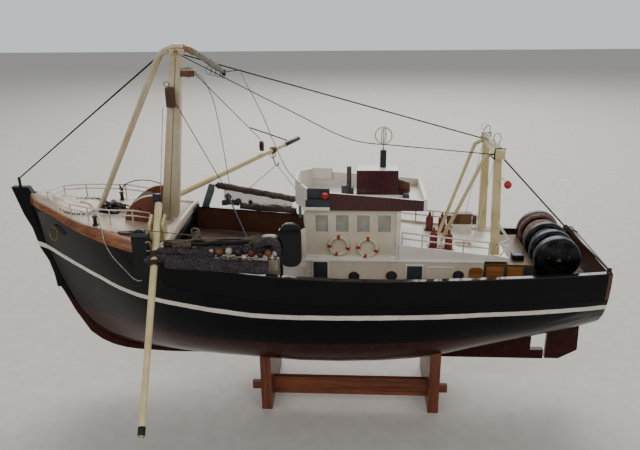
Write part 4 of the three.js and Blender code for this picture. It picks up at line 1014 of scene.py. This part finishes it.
# Half-breadth of the house, to port
HOUSE_SIDE = -44
for number, (x, z) in enumerate([(60, 168.6), (99.8, 169.9), (169.9, 171.3)]):
    rim = turned([(0, 5.4), (1.2, 5.8), (1.6, 5.4), (1.6, 4.6), (0.6, 4.3), (0, 5.4)], (x, HOUSE_SIDE, z),
                 (0, -1, 0), 28)
    both_sides(rim, "porthole_rim_%d" % number, BRASS)
    glass = turned([(0, 4.6), (0.5, 4.4), (0.9, 3.2), (1.0, 0), (0, 0)], (x, HOUSE_SIDE, z), (0, -1, 0), 24)
    both_sides(glass, "porthole_glass_%d" % number, SLATE)
panel = joined(block(137, 165, -44.7, -43.9, 163.5, 164.6, 0.2),
               block(137, 165, -44.7, -43.9, 179, 180.1, 0.2),
               block(137, 138.1, -44.7, -43.9, 164, 179.6, 0.2),
               block(163.9, 165, -44.7, -43.9, 164, 179.6, 0.2))
both_sides(panel, "house_side_moulding", TRIM)
for number, (x0, x1, y) in enumerate([(181, 195.4, -44), (199, 217.6, -42), (221.4, 237.6, -42)]):
    corners = [(x1 - 4, 165.5, -0.5), (x1 - 4, 176.2, 0), (x0 + 4, 176.2, 0.5), (x0 + 4, 165.5, 1)]
    edge = []
    for x, z, quarter in corners:
        for i in range(5):
            angle = math.pi * (quarter + i / 8)
            edge.append((x + 4 * math.cos(angle), y + 0.2, z + 4 * math.sin(angle)))
    both_sides(plate(edge, (0, -1.4, 0), 0.4), "locker_panel_%d" % number, PANEL)
# Dark strips in the gaps between the locker's panels: painted shade of the gaps
for number, (x0, x1) in enumerate([(196.4, 198.6), (218.2, 220.8), (238.2, 247.6)]):
    both_sides(block(x0, x1, -42.5, -41.8, 160.5, 180.6, 0.2), "locker_gap_shade_%d" % number, SLATE)
lid = joined(block(196.5, 249, -43.4, 43.4, 182, 183.6, 0.6), block(200, 222, -26, 26, 183.4, 184.8, 0.5))
finish_piece(lid, "locker_top", OLIVE)
finish_piece(block(197, 246, -42.6, 42.6, 182.1, 183.4, 0.4), "locker_lid", LID_WOOD)
finish_piece(block(228, 240, -33, -22, 183.5, 189.6, 0.9), "stern_gear_box", BLACK_METAL)
for side, way in (("port", -1), ("starboard", 1)):
    top_edge = strip([(x, way * 44.6, 185.4) for x in (8.4, 107, 196.4)], (0, -way * 6.4, 0), (0, 0, 1.2))
    finish_piece(top_edge, "house_top_edge_" + side, TRIM)

# Wheelhouse: panes, corner posts, base ledge, and red bands on the life rings
PANE_FOOT, PANE_HEAD = 216.4, 235.1
SIDE_PANES = [(19.5, 32.5), (41, 54), (63, 76), (85, 98)]
panes = [block(x0 - 0.1, x1 + 0.1, -37.2, -36.5, PANE_FOOT, PANE_HEAD, 0.1) for x0, x1 in SIDE_PANES]
both_sides(joined(*panes), "side_panes", PANE)
front_panes = [block(10, 10.7, y0 - 0.1, y1 + 0.1, PANE_FOOT, PANE_HEAD, 0.1)
               for y0, y1 in [(-29, -14), (-7.5, 7.5), (14, 29)]]
finish_piece(joined(*front_panes), "front_panes", PANE)
back_panes = [block(105.5, 106.2, y0 - 0.1, y1 + 0.1, PANE_FOOT, PANE_HEAD, 0.1)
              for y0, y1 in [(-27, -15), (15, 27)]]
finish_piece(joined(*back_panes), "back_panes", PANE)
both_sides(strip([(8.2, -39.4, 186.4), (104, -39.4, 186.4)], (0, 1.6, 0), (0, 0, 3.4)), "wheelhouse_ledge",
           TRIM)
both_sides(block(103.6, 108.2, -39.6, -37.4, 186.6, 240.6, 0.7), "after_corner_post", TRIM)
wing = [(9, -38.6, 187), (4.4, -38.6, 188.4), (1.4, -38.6, 193), (0.4, -38.6, 200), (0.4, -38.6, 210),
        (2.2, -38.6, 216), (5.4, -38.6, 219.4), (9, -38.6, 220.4)]
both_sides(plate(wing, (0, 1.8, 0), 0.4), "fore_wing_board", TRIM)
# Rows: name, middle of the ring, angle of each band in degrees
RINGS = [("fore", 43.8, 201.3, (92, 181, -16, -106)), ("aft", 74.1, 199.4, (88, 176, -20, -104))]
RING_RADIUS = 9.8
for name, x, z, angles in RINGS:
    bands = []
    for turn in angles:
        arc = []
        for angle in [math.radians(turn + d) for d in (-9, -4, 0, 4, 9)]:
            arc.append((x + RING_RADIUS * math.cos(angle), -39.2, z + RING_RADIUS * math.sin(angle)))
        bands.append(line(arc, 2.15, sides=3))
    both_sides(joined(*bands), "life_ring_bands_" + name, SIGNAL_RED)

# Roof: white edge, floor and front facets of the tray, side lights, box top, plank, brackets
tray.data.materials.append(TRIM)
# In metres: the tray's middle, and the heights over which a face belongs to the tray's floor, to the
# lid of the box and to the aerial's wire
TRAY_MIDDLE, TRAY_FLOOR, BOX_LID, POST_TOP = at(65, 0, 0).x, 0.2443, 0.27, 0.2962
for face in tray.data.polygons:
    middle = face.center
    inward = face.normal.x * (middle.x - TRAY_MIDDLE) + face.normal.y * middle.y < 0
    upright_side = middle.z > TRAY_FLOOR and abs(face.normal.z) < 0.2
    if face.normal.z > 0.8 or face.normal.x < -0.5 or (upright_side and inward):
        face.material_index = 1
box_top = over("roof_box", "roof_box_case", MAROON, edge=0.5)
box_top.data.materials.append(TRIM)
for face in box_top.data.polygons:
    if face.normal.z > 0.7 and face.center.z > BOX_LID:
        face.material_index = 1
over("roof_post", "roof_turned_post", POST_WOOD, edge=0.4)
aerial = over("aerial", "aerial_post", NAVY, smooth=50)
aerial.data.materials.append(RAIL)
for face in aerial.data.polygons:
    if face.center.z > POST_TOP:
        face.material_index = 1
screen = plate([(9.6, -38.4, 252.6), (34.4, -38.4, 252.6), (34.4, -38.4, 264.2), (11, -38.4, 264.6)],
               (0, 1.4, 0), 0.2)
screen = joined(screen, block(11.6, 34.4, -41, -37.4, 252.5, 253.2, 0.1),
                block(33.2, 34.4, -41, -37.4, 252.6, 260.4, 0.1))
both_sides(screen, "side_light_screen", SLATE)
lining = plate([(9.8, -37, 252.6), (34.2, -37, 252.6), (34.2, -37, 264), (11.2, -37, 264.4)], (0, 0.3, 0))
both_sides(lining, "side_light_lining", TRIM)
both_sides(block(9.4, 34.6, -41.8, -41, 245.4, 252.8, 0.2), "screen_front", SLATE)
both_sides(block(6.6, 34.6, -42.8, -41, 241.8, 245.2, 0.2), "screen_ledge", TRIM)
finish_piece(block(131, 134.6, -41.6, 41.6, 241.6, 254.2, 0.4), "tray_after_board", TRIM)
for name, y, material in [("port", -41.4, SIGNAL_RED), ("starboard", 41.4, GREEN)]:
    lamp = turned([(-3.6, 0), (-3.4, 1.8), (-2.4, 3.4), (0, 4.1), (2.4, 3.4), (3.4, 1.8), (3.8, 0)],
                  (29.6, y, 257.4))
    finish_piece(lamp, "side_light_" + name, material)
ROOF_TOP = 244.6
finish_piece(block(47, 118, -21, -17.6, ROOF_TOP, 251.6, 0.6), "roof_rail_plank", TRIM)
finish_piece(block(46, 54, -20.6, -14, ROOF_TOP, 262, 0.7), "roof_switch_box", SLATE)
bracket = plate([(106, -12, 267), (118, -12, 263), (119, -12, 254), (116, -12, 245), (112, -12, 245),
                 (106.4, -12, 254)], (0, 6, 0), 0.5)
finish_piece(bracket, "roof_bracket", BLOCK_WOOD)
finish_piece(block(110.6, 117, -25, -19, ROOF_TOP, 254.6, 0.6), "roof_junction_box", SLATE)

# Boat deck: crate, plank, bottle valves and the zigzag steps by the gantry
finish_piece(joined(block(173.1, 193.9, 30.6, 38.6, 200.6, 212.6, 0.5),
                    block(172.7, 194.3, 30.2, 39, 211, 213.2, 0.5),
                    block(166, 171.6, 31, 38, 200.8, 211, 0.5),
                    block(195.4, 199.6, 31, 38, 200.8, 211, 0.5)), "deck_crate", BLOCK_WOOD)
finish_piece(joined(block(172.6, 194.4, 30, 39, 191.6, 199.4, 0.4),
                    block(164.6, 200.4, 29.4, 39.6, 198.8, 200.5, 0.4)), "deck_bench", TRIM)
finish_piece(block(170, 187, -17, -8.6, 191.4, 194.6, 0.4), "deck_plank_seat", PANEL)
# The boat deck falls along its run; each bottle's foot is sunk a little into it
DECK_FORE, DECK_RUN, DECK_TOP, DECK_FALL = 109, 111, 203.6, 12.6
BOTTLE_SUNK, BOTTLE_TALL = 3, 20.2
for name, y, xs in [("port", -29.5, (144, 160)), ("starboard", 22.5, (145, 159))]:
    valves = []
    for x in xs:
        foot = DECK_TOP - ((x - DECK_FORE) / DECK_RUN) * DECK_FALL - BOTTLE_SUNK + BOTTLE_TALL
        valves.append(turned([(0, 1.2), (1.4, 1.2), (1.8, 0.7), (2.8, 0.7), (3, 1.5), (3.8, 1.5), (4, 0),
                              (0, 0)], (x, y, foot), sides=14))
    finish_piece(joined(*valves), "bottle_valves_" + name, BRASS)
# Rows: corners of each strand of the folded steps
STEPS = [[(206.6, 231.3), (219.6, 212.2), (208.6, 207.4), (219.1, 204.9), (211.9, 193.5)],
         [(208, 227), (218.2, 212.2), (207.6, 203.4), (212, 207.4), (219.8, 195.4)]]
strand_pair = [line([(x, -43.6, z) for x, z in corners], 0.95, taut=True) for corners in STEPS]
finish_piece(joined(*strand_pair), "zigzag_steps", TRIM)

# Gantry: a cord once round each end block, white twine thrown over the posts' heads, and a ball on its wire
for side, y in (("port", -36.6), ("starboard", 36.6)):
    around = [(199, y, 295.5), (199, y, 306), (209, y, 306.2), (209, y, 295.5), (199, y, 295.5),
              (197, y * 0.9, 297)]
    loop = line(around, 0.7, taut=True)
    finish_piece(loop, "end_block_cord_" + side, ROPE, smooth=60)
# Rows: radius, then the run of one loop of twine
WHITE_TWINE = [
    (0.7, [(196.6, 30, 302), (199.6, 30, 306), (200.8, 29, 313.6), (204.5, 30, 315.4), (206, 31, 308.4),
           (203.5, 31, 303)]),
    (0.7, [(201, -31, 304), (199, -31, 312), (198.8, -30, 318.8), (202.6, -31, 320), (205, -32, 315.4),
           (203.2, -32, 309.6), (206, -33, 306)]),
    (0.9, [(196, 26, 304), (199, 18, 310), (203, 4, 306), (202, -12, 309), (205, -24, 305.4),
           (203, -31, 306)]),
    (0.35, [(199, 31, 309), (197.4, 30, 316.4), (200.6, 30, 317.6), (202.4, 31, 311)]),
]
for i in range(7):
    lean = 0.5 * i
    WHITE_TWINE.append((0.9, [(200 + lean, 30 - i, 303), (198.6 + lean, 22 - 2 * i, 306.6 - 0.3 * i),
                              (201 + 0.6 * i, 6 - 2 * i, 306 - 0.5 * i), (202 + lean, -10 - 2 * i, 304.4),
                              (204 + lean, -24 - i, 301.6 + lean), (205, -33, 300 + i)]))
white_loops = [line(points, radius) for radius, points in WHITE_TWINE]
finish_piece(joined(*white_loops), "gantry_white_twine", WHITE_CORD, smooth=60)
gantry_heads = line([(185.4, -26.9, 281), (188.6, -28.5, 289.4), (191.6, -29.5, 295.4), (195, -29.4, 297.8),
                     (198.6, -29.3, 299.2)], 2, sides=3)
both_sides(gantry_heads, "gantry_leg_head", SPAR, smooth=60)
finish_piece(line([(205.5, -34.6, 277), (209, -36.5, 275.5), (212.4, -38.5, 272.6)], 0.4), "ball_wire",
             WIRE)
finish_piece(turned([(-4, 0), (-4, 1), (-3.4, 2.2), (-1.6, 3.7), (0, 4), (1.6, 3.7), (3.4, 2.2), (4, 1),
                     (4.8, 0.6), (4.8, 0)], (214, -39.4, 269.6)), "red_ball", SIGNAL_RED)
knot = joined(ring((271.6, -52.8, 229.6), 2.2, 1.0, (1, 0.2, -0.6)),
              ring((272.6, -53.2, 228.6), 2.0, 1.0, (0.4, 1, 0.2)),
              line([(272, -53, 228.6), (276, -53.6, 227), (281, -54, 226.4), (284, -54.4, 224.8)], 0.7))
finish_piece(knot, "stern_rope_knot", ROPE, smooth=60)
finish_piece(joined(ring((316.4, -65.2, 187.4), 2.4, 0.7, (1, 0.4, 0)),
                    ring((316.8, -64.2, 188.4), 2.0, 0.7, (0, 1, 0.3))), "stern_rope_eye", ROPE,
             smooth=60)


# Nets and floats

def bulge(piece, coarse, fine):
    """Gives a roll of net its folds: finer faces, then two sizes of swell. Heights are in millimetres."""
    pick(piece)
    edit(piece)
    bpy.ops.mesh.quads_convert_to_tris()
    bpy.ops.mesh.subdivide(number_cuts=2)
    fresh()
    pick(piece)
    for number, (size, height) in enumerate([(9.0, coarse), (3.2, fine)]):
        swell = bpy.data.textures.new(piece.name + "_swell_%d" % number, "CLOUDS")
        swell.noise_scale = size * MM
        swell.noise_depth = 2
        push = piece.modifiers.new("swell_%d" % number, "DISPLACE")
        push.texture = swell
        push.texture_coords = "LOCAL"
        push.strength = height * MM
        push.mid_level = 0.55
        bpy.ops.object.modifier_apply(modifier=push.name)
    round_off = piece.modifiers.new("round_off", "SUBSURF")
    round_off.levels = round_off.render_levels = 1
    bpy.ops.object.modifier_apply(modifier="round_off")
    bpy.ops.object.shade_smooth_by_angle(angle=math.radians(70))


# The rolled nets in place of their solids. Rows: CAD node, material, height of the folds
for name, material, coarse in [("port_net", NET, 5.0), ("starboard_net", RAIL_NET, 3.5)]:
    bulge(over(name, name + "_roll", material, smooth=0), coarse, 2.2)


# Rows: name, radius, material, coarse and fine swell, run of the bundle
BUNDLES = [
    ("net_over_beam", 4.6, NET, 4, 1.6,
     [(-134, -86, 212), (-124, -88, 214.5), (-108, -88.5, 214), (-92, -89, 212), (-78, -90.5, 209.4)]),
    ("net_by_boom", 4.2, NET, 4, 1.6,
     [(-147, -89, 204), (-143, -91, 207.4), (-135, -92, 208.4), (-124, -92.4, 208)]),
    ("net_among_floats", 5.6, NET, 4, 1.8,
     [(-104, -84, 211), (-84, -82, 213), (-66, -81.4, 214), (-48, -81, 213.6), (-32, -80.6, 213.6),
      (-20, -80, 213)]),
    ("net_by_aft_shoe", 4.4, NET, 3, 1.4,
     [(-38, -85, 219.4), (-28, -85.4, 224), (-20, -85.6, 224), (-15.6, -85.8, 218), (-15, -86, 209)]),
    ("net_inside_bulwark", 8.5, NET, 5, 2,
     [(-120, -72, 176.5), (-96, -76, 177), (-70, -79, 175.4), (-44, -81, 173), (-32, -80, 171.4)]),
    ("net_on_far_beam", 4.2, RAIL_NET, 2, 1,
     [(-110.4, 86, 228.8), (-85, 86.2, 224.2), (-60, 86, 219.6), (-34, 86.2, 214.8), (-14, 86, 211)]),
    ("net_on_far_rail", 3.6, RAIL_NET, 2, 1, [(-106, 87.6, 205.4), (-94, 88, 205.6), (-84, 88.4, 204)]),
]
for name, radius, material, coarse, fine, points in BUNDLES:
    bundle = line(points, radius, sides=3)
    bundle.name = name
    bulge(bundle, coarse, fine)
    finish_piece(bundle, name, material, smooth=70)


def strands(name, path, radius, count, material):
    """Loose threads of a net that stray over its roll."""
    made = []
    for i in range(count):
        share = draw.random() * 0.75
        reach = 0.12 + 0.2 * draw.random()
        angle = draw.uniform(0.1, 2.6)
        points = []
        for k in range(7):
            spot = along_path(path, min(1.0, share + reach * k / 6))
            angle += draw.uniform(-0.5, 0.6)
            grow = radius + draw.uniform(0.2, 1.6)
            points.append((spot.x, spot.y - grow * math.cos(angle), spot.z + grow * math.sin(angle)))
        made.append(line(points, 0.32, sides=1))
    finish_piece(joined(*made), name, material, smooth=60)


def along_path(path, share):
    """A place on a run of points, as a share of its length."""
    spots = [Vector(point) for point in path]
    lengths = [(b - a).length for a, b in zip(spots, spots[1:])]
    left = share * sum(lengths)
    for a, b, length in zip(spots, spots[1:], lengths):
        if left <= length:
            return a.lerp(b, left / length)
        left -= length
    return spots[-1]


PORT_ROLL = [(-126, -93, 205.2), (-95, -95, 204), (-60, -95, 201.8), (-24, -93.6, 199.4)]
STARBOARD_ROLL = [(-84, 88, 201.5), (-60, 89, 198.6), (-12.4, 89, 194.2)]
strands("port_net_strands", PORT_ROLL, 7.4, 26, NET)
strands("starboard_net_strands", STARBOARD_ROLL, 4.4, 18, RAIL_NET)

# Open net hung from the far beam to the roll below it. Rows: its top and bottom edges
HUNG_TOP = [(-102 + 7 * i, 86 + 0.7 * math.sin(1.3 * i), 225.8 - 1.28 * i) for i in range(13)]
HUNG_FOOT = [(-102 + 7 * i, 87 + 0.8 * math.sin(0.9 * i + 1), 205 - 0.72 * i) for i in range(13)]
upper, lower = [edges_through([at(*spot) for spot in edge]) for edge in (HUNG_TOP, HUNG_FOOT)]
hung = joined(upper, lower)
edit(hung)
bpy.ops.mesh.bridge_edge_loops(number_cuts=7)
bpy.ops.mesh.normals_make_consistent(inside=False)
fresh()
finish_piece(hung, "hung_net", HUNG_NET, smooth=60)
for number, spot in enumerate([(-97, 84, 214.6), (-84.9, 84.6, 208)]):
    clew = turned([(-4.4, 0), (-4, 1.8), (-2.6, 3.6), (0, 4.5), (2.6, 3.6), (4, 1.8), (4.4, 0)], spot,
                  (0.2, 0.3, 1), 16)
    clew.name = "ball_of_net_%d" % number
    bulge(clew, 1.4, 0.8)
    finish_piece(clew, "ball_of_net_%d" % number, RAIL_NET, smooth=70)

# The stern drum: rims rolled round at their edges, on a barrel. Rows: y from and to, radius, roundness
DRUM_X, DRUM_Z = 271.4, 190
DRUM_AXIS = (DRUM_X, 0, DRUM_Z)
DRUM = [(-47.6, -46.5, 5, 0.3), (-46.5, -31.7, 23.7, 4.2), (-31.7, -25.3, 5, 0), (-25.3, -13.5, 23.7, 4),
        (-13.5, -1.5, 19, 0), (-1.5, 10, 23.7, 4), (10, 25.3, 19, 0), (25.3, 31.7, 5, 0), (31.7, 36, 19, 0),
        (36, 46.5, 23.7, 3.6), (46.5, 47.6, 5, 0.3)]
profile = [(-47.6, 0)]
for y0, y1, radius, rolled in DRUM:
    arc = [(rolled * (1 - math.cos(math.pi * i / 10)), rolled * (1 - math.sin(math.pi * i / 10)))
           for i in range(6)]
    profile += [(y0 + along, radius - down) for along, down in (arc if rolled else [(0, 0)])]
    profile += [(y1 - along, radius - down) for along, down in (reversed(arc) if rolled else [(0, 0)])]
discs = turned(profile + [(47.6, 0)], DRUM_AXIS, (0, 1, 0), 48)
finish_piece(discs, "net_drum_discs", RUBBED_BLACK, body="net_drum")
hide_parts("net_drum")

# Netting wound on it. Rows: name, y from and to, radius, inner radius, material
WOUND = [("middle", -13.2, -1.8, 20.4, 18.6, NET), ("starboard_inner", 10.3, 25, 21.2, 18.6, ROLLED_NET),
         ("starboard_outer", 31.9, 47.2, 23.1, 18.6, ROLLED_NET)]
STEPS_ACROSS = 6
for name, y0, y1, radius, inner, material in WOUND:
    profile = [(y0, inner)]
    for i in range(STEPS_ACROSS + 1):
        edge = 1.4 if i in (0, STEPS_ACROSS) else 0
        profile.append((y0 + (y1 - y0) * i / STEPS_ACROSS, radius - edge - 0.5 * (i % 2)))
    profile += [(y1, inner), (y0, inner)]
    wound = turned(profile, DRUM_AXIS, (0, 1, 0), 28)
    wound.name = "net_on_drum_" + name
    bulge(wound, 1.2, 0.7)
    finish_piece(wound, "net_on_drum_" + name, material, body="net_drum", smooth=70)
hubs = [turned([(0, 0), (0, 2.2), (0.5, 2.2), (0.9, 1.4), (1.0, 0)], (DRUM_X, y, DRUM_Z), (0, s, 0), 20)
        for y, s in ((-47.4, -1), (47.4, 1))]
BOLTS, BOLT_CIRCLE = 5, 11
bolts = []
for a in [math.tau * (i + 0.3) / BOLTS for i in range(BOLTS)]:
    spot = (DRUM_X + BOLT_CIRCLE * math.cos(a), -46.4, DRUM_Z + BOLT_CIRCLE * math.sin(a))
    bolts.append(turned([(0, 0), (0, 0.9), (0.5, 0.8), (0.6, 0)], spot, (0, -1, 0), 8))
finish_piece(joined(*hubs, *bolts), "drum_hub_caps", BRASS, body="net_drum")


def net_float(x, y, z, radius, way=(1, 0, 0)):
    """A bored net float, rounded, with the hole for its rope through the middle."""
    bore = radius * 0.24
    profile = [(-radius * 0.86, bore)]
    for i in range(7):
        angle = math.pi * (0.12 + 0.76 * i / 6)
        profile.append((-radius * 0.95 * math.cos(angle), radius * math.sin(angle)))
    profile += [(radius * 0.86, bore), (-radius * 0.86, bore)]
    return turned(profile, (x, y, z), way, 18)


# Floats on the port net and rail, and on the starboard net. Rows: place, radius, finish
PORT_FLOATS = [
    ((-82, -86.4, 213), 3.2, FLOAT_WHITE), ((-73.5, -87, 213), 4.6, FLOAT_BROWN),
    ((-64, -86.5, 214), 3.8, FLOAT_WHITE), ((-54.6, -86.5, 213), 4.6, FLOAT_DARK),
    ((-48.4, -90, 208.6), 2.9, FLOAT_WHITE), ((-41.5, -87, 212.2), 4.2, FLOAT_RED),
    ((-32.6, -87, 210.6), 3.4, FLOAT_DARK), ((-25, -86.5, 212.4), 3.8, FLOAT_BROWN),
    ((-17.6, -86.5, 212), 3.3, FLOAT_WHITE),
]
STARBOARD_FLOATS = [((-70, 88, 206.6), 3.0, FLOAT_DARK), ((-28, 88, 201.6), 2.8, FLOAT_WHITE)]
for side, rows in (("port", PORT_FLOATS), ("starboard", STARBOARD_FLOATS)):
    for number, (place, radius, material) in enumerate(rows):
        way = (1, draw.uniform(-0.5, 0.5), draw.uniform(-0.3, 0.3))
        finish_piece(net_float(*place, radius, way), "%s_float_%d" % (side, number), material,
                     smooth=50)
headline = [(x, y + 0.4, z - 0.4) for (x, y, z), radius, material in PORT_FLOATS]
finish_piece(line([(-98, -90, 211)] + headline + [(-12, -84, 208)], 0.7), "port_headline", TAN_ROPE,
             smooth=60)
finish_piece(turned([(-7.8, 0), (-7.4, 1.1), (-5.8, 2.1), (-2, 2.6), (2, 2.6), (5.8, 2.1), (7.4, 1.1),
                     (7.8, 0)], (-24, -79, 226.6), (1, 0.05, 0.03), 20), "long_white_float", FLOAT_WHITE)
for number, (x, y) in enumerate([(-25, -80), (-18.8, -79.4)]):
    finish_piece(net_float(x, y, 206.4, 2.6, (0.4, 1, 0.2)), "box_float_%d" % number, FLOAT_WHITE,
                 smooth=50)

# Twine and rope on the trawl beams
finish_piece(seized((-120, -85.4, 219.8), (-101, -83.9, 220.3), 3.6, 1.7, 0.8), "beam_seizing_fore", TAN_ROPE,
             smooth=60)
finish_piece(seized((-44, -79.7, 221.8), (-30, -78.6, 222.1), 3.6, 1.7, 0.8), "beam_seizing_aft", TAN_ROPE,
             smooth=60)
# Ropes laid along the beam. Rows: how far out, up and how wavy each is, radius, material
LAID = [(0, 3.3, 1.2, 0.9, TAN_ROPE), (-2.6, 1.9, 1.0, 1.1, ROPE), (2.2, 2.6, 1.6, 1.0, ROPE),
        (-1.4, 4.6, 2.0, 0.7, TAN_ROPE)]
for number, (out, up, wave, radius, material) in enumerate(LAID):
    laid = [(-129 + 11.4 * i, -86 + out + 0.85 * i - wave * math.sin(1.9 * i + number),
             219.8 + up + 0.29 * i + 0.5 * wave * math.cos(2.3 * i + 2 * number)) for i in range(11)]
    finish_piece(line(laid, radius), "beam_rope_%d" % number, material, smooth=60)
finish_piece(joined(ring((-97, -82, 232), 4.4, 0.9, (0.2, 1, 0.1)),
                    ring((-95.8, -81.4, 229.2), 3.4, 0.9, (0.6, 1, 0.4))), "beam_rope_knot", TAN_ROPE,
             smooth=60)
shackle = line([(-147.4, -86.4, 222), (-144, -86.4, 222.6), (-142.2, -86.4, 219), (-142.6, -86.4, 215),
                (-145, -86.4, 213), (-147.4, -86.4, 213.6)], 0.9, sides=3)
finish_piece(shackle, "fore_shoe_shackle", WIRE)


# Stage: a pale floor and soft studio light

fresh()
bpy.ops.mesh.primitive_plane_add(size=8, location=(0.1, 0, 0))
floor = bpy.context.object
floor.name = "floor"
ground, tree, place = blank("pale_painted_floor")
speck = node(tree, "ShaderNodeTexNoise", {"Vector": place, "Scale": 60.0, "Detail": 4.0})
tone = node(tree, "ShaderNodeValToRGB", {"Fac": speck.outputs["Fac"]},
            stops=[(0.3, "#c4beb6"), (0.7, "#cdc8c1")])
surface(tree, tone.outputs["Color"], 0.7, speck.outputs["Fac"], 0.05)
floor.data.materials.append(ground)

# The lamps aim at this place, in metres
MIDDLE_OF_MODEL = Vector((0.1, 0, 0.18))
# Rows: place in metres, size, power in watts, colour
LAMPS = [
    ((0.15, 1.6, 1.6), 2.0, 46, (1.0, 0.99, 0.97)),
    ((-0.9, -1.3, 1.3), 1.4, 11, (0.96, 0.97, 1.0)),
    ((1.2, -1.1, 1.2), 1.2, 8, (1.0, 0.97, 0.93)),
]
for number, (spot, size, power, colour) in enumerate(LAMPS):
    fresh()
    aim = (MIDDLE_OF_MODEL - Vector(spot)).to_track_quat("-Z", "Y").to_euler()
    bpy.ops.object.light_add(type="AREA", location=spot, rotation=aim)
    lamp = bpy.context.object
    lamp.name = "soft_lamp_%d" % number
    lamp.data.size = size
    lamp.data.energy = power
    lamp.data.color = colour
# The room is bright behind the model and dim in front of it
world = bpy.data.worlds.new("studio")
world.use_nodes = True
tree = world.node_tree
tree.nodes.clear()
way = node(tree, "ShaderNodeSeparateXYZ", {"Vector": node(tree, "ShaderNodeTexCoord").outputs["Generated"]})
glow = node(tree, "ShaderNodeMapRange", {"Value": way.outputs["Y"], "From Min": -0.5, "From Max": 0.7,
                                         "To Min": 0.22, "To Max": 0.85})
sky = node(tree, "ShaderNodeBackground", {"Color": (0.86, 0.9, 0.92, 1), "Strength": glow.outputs["Result"]})
node(tree, "ShaderNodeOutputWorld", {"Surface": sky.outputs["Background"]})
bpy.context.scene.world = world
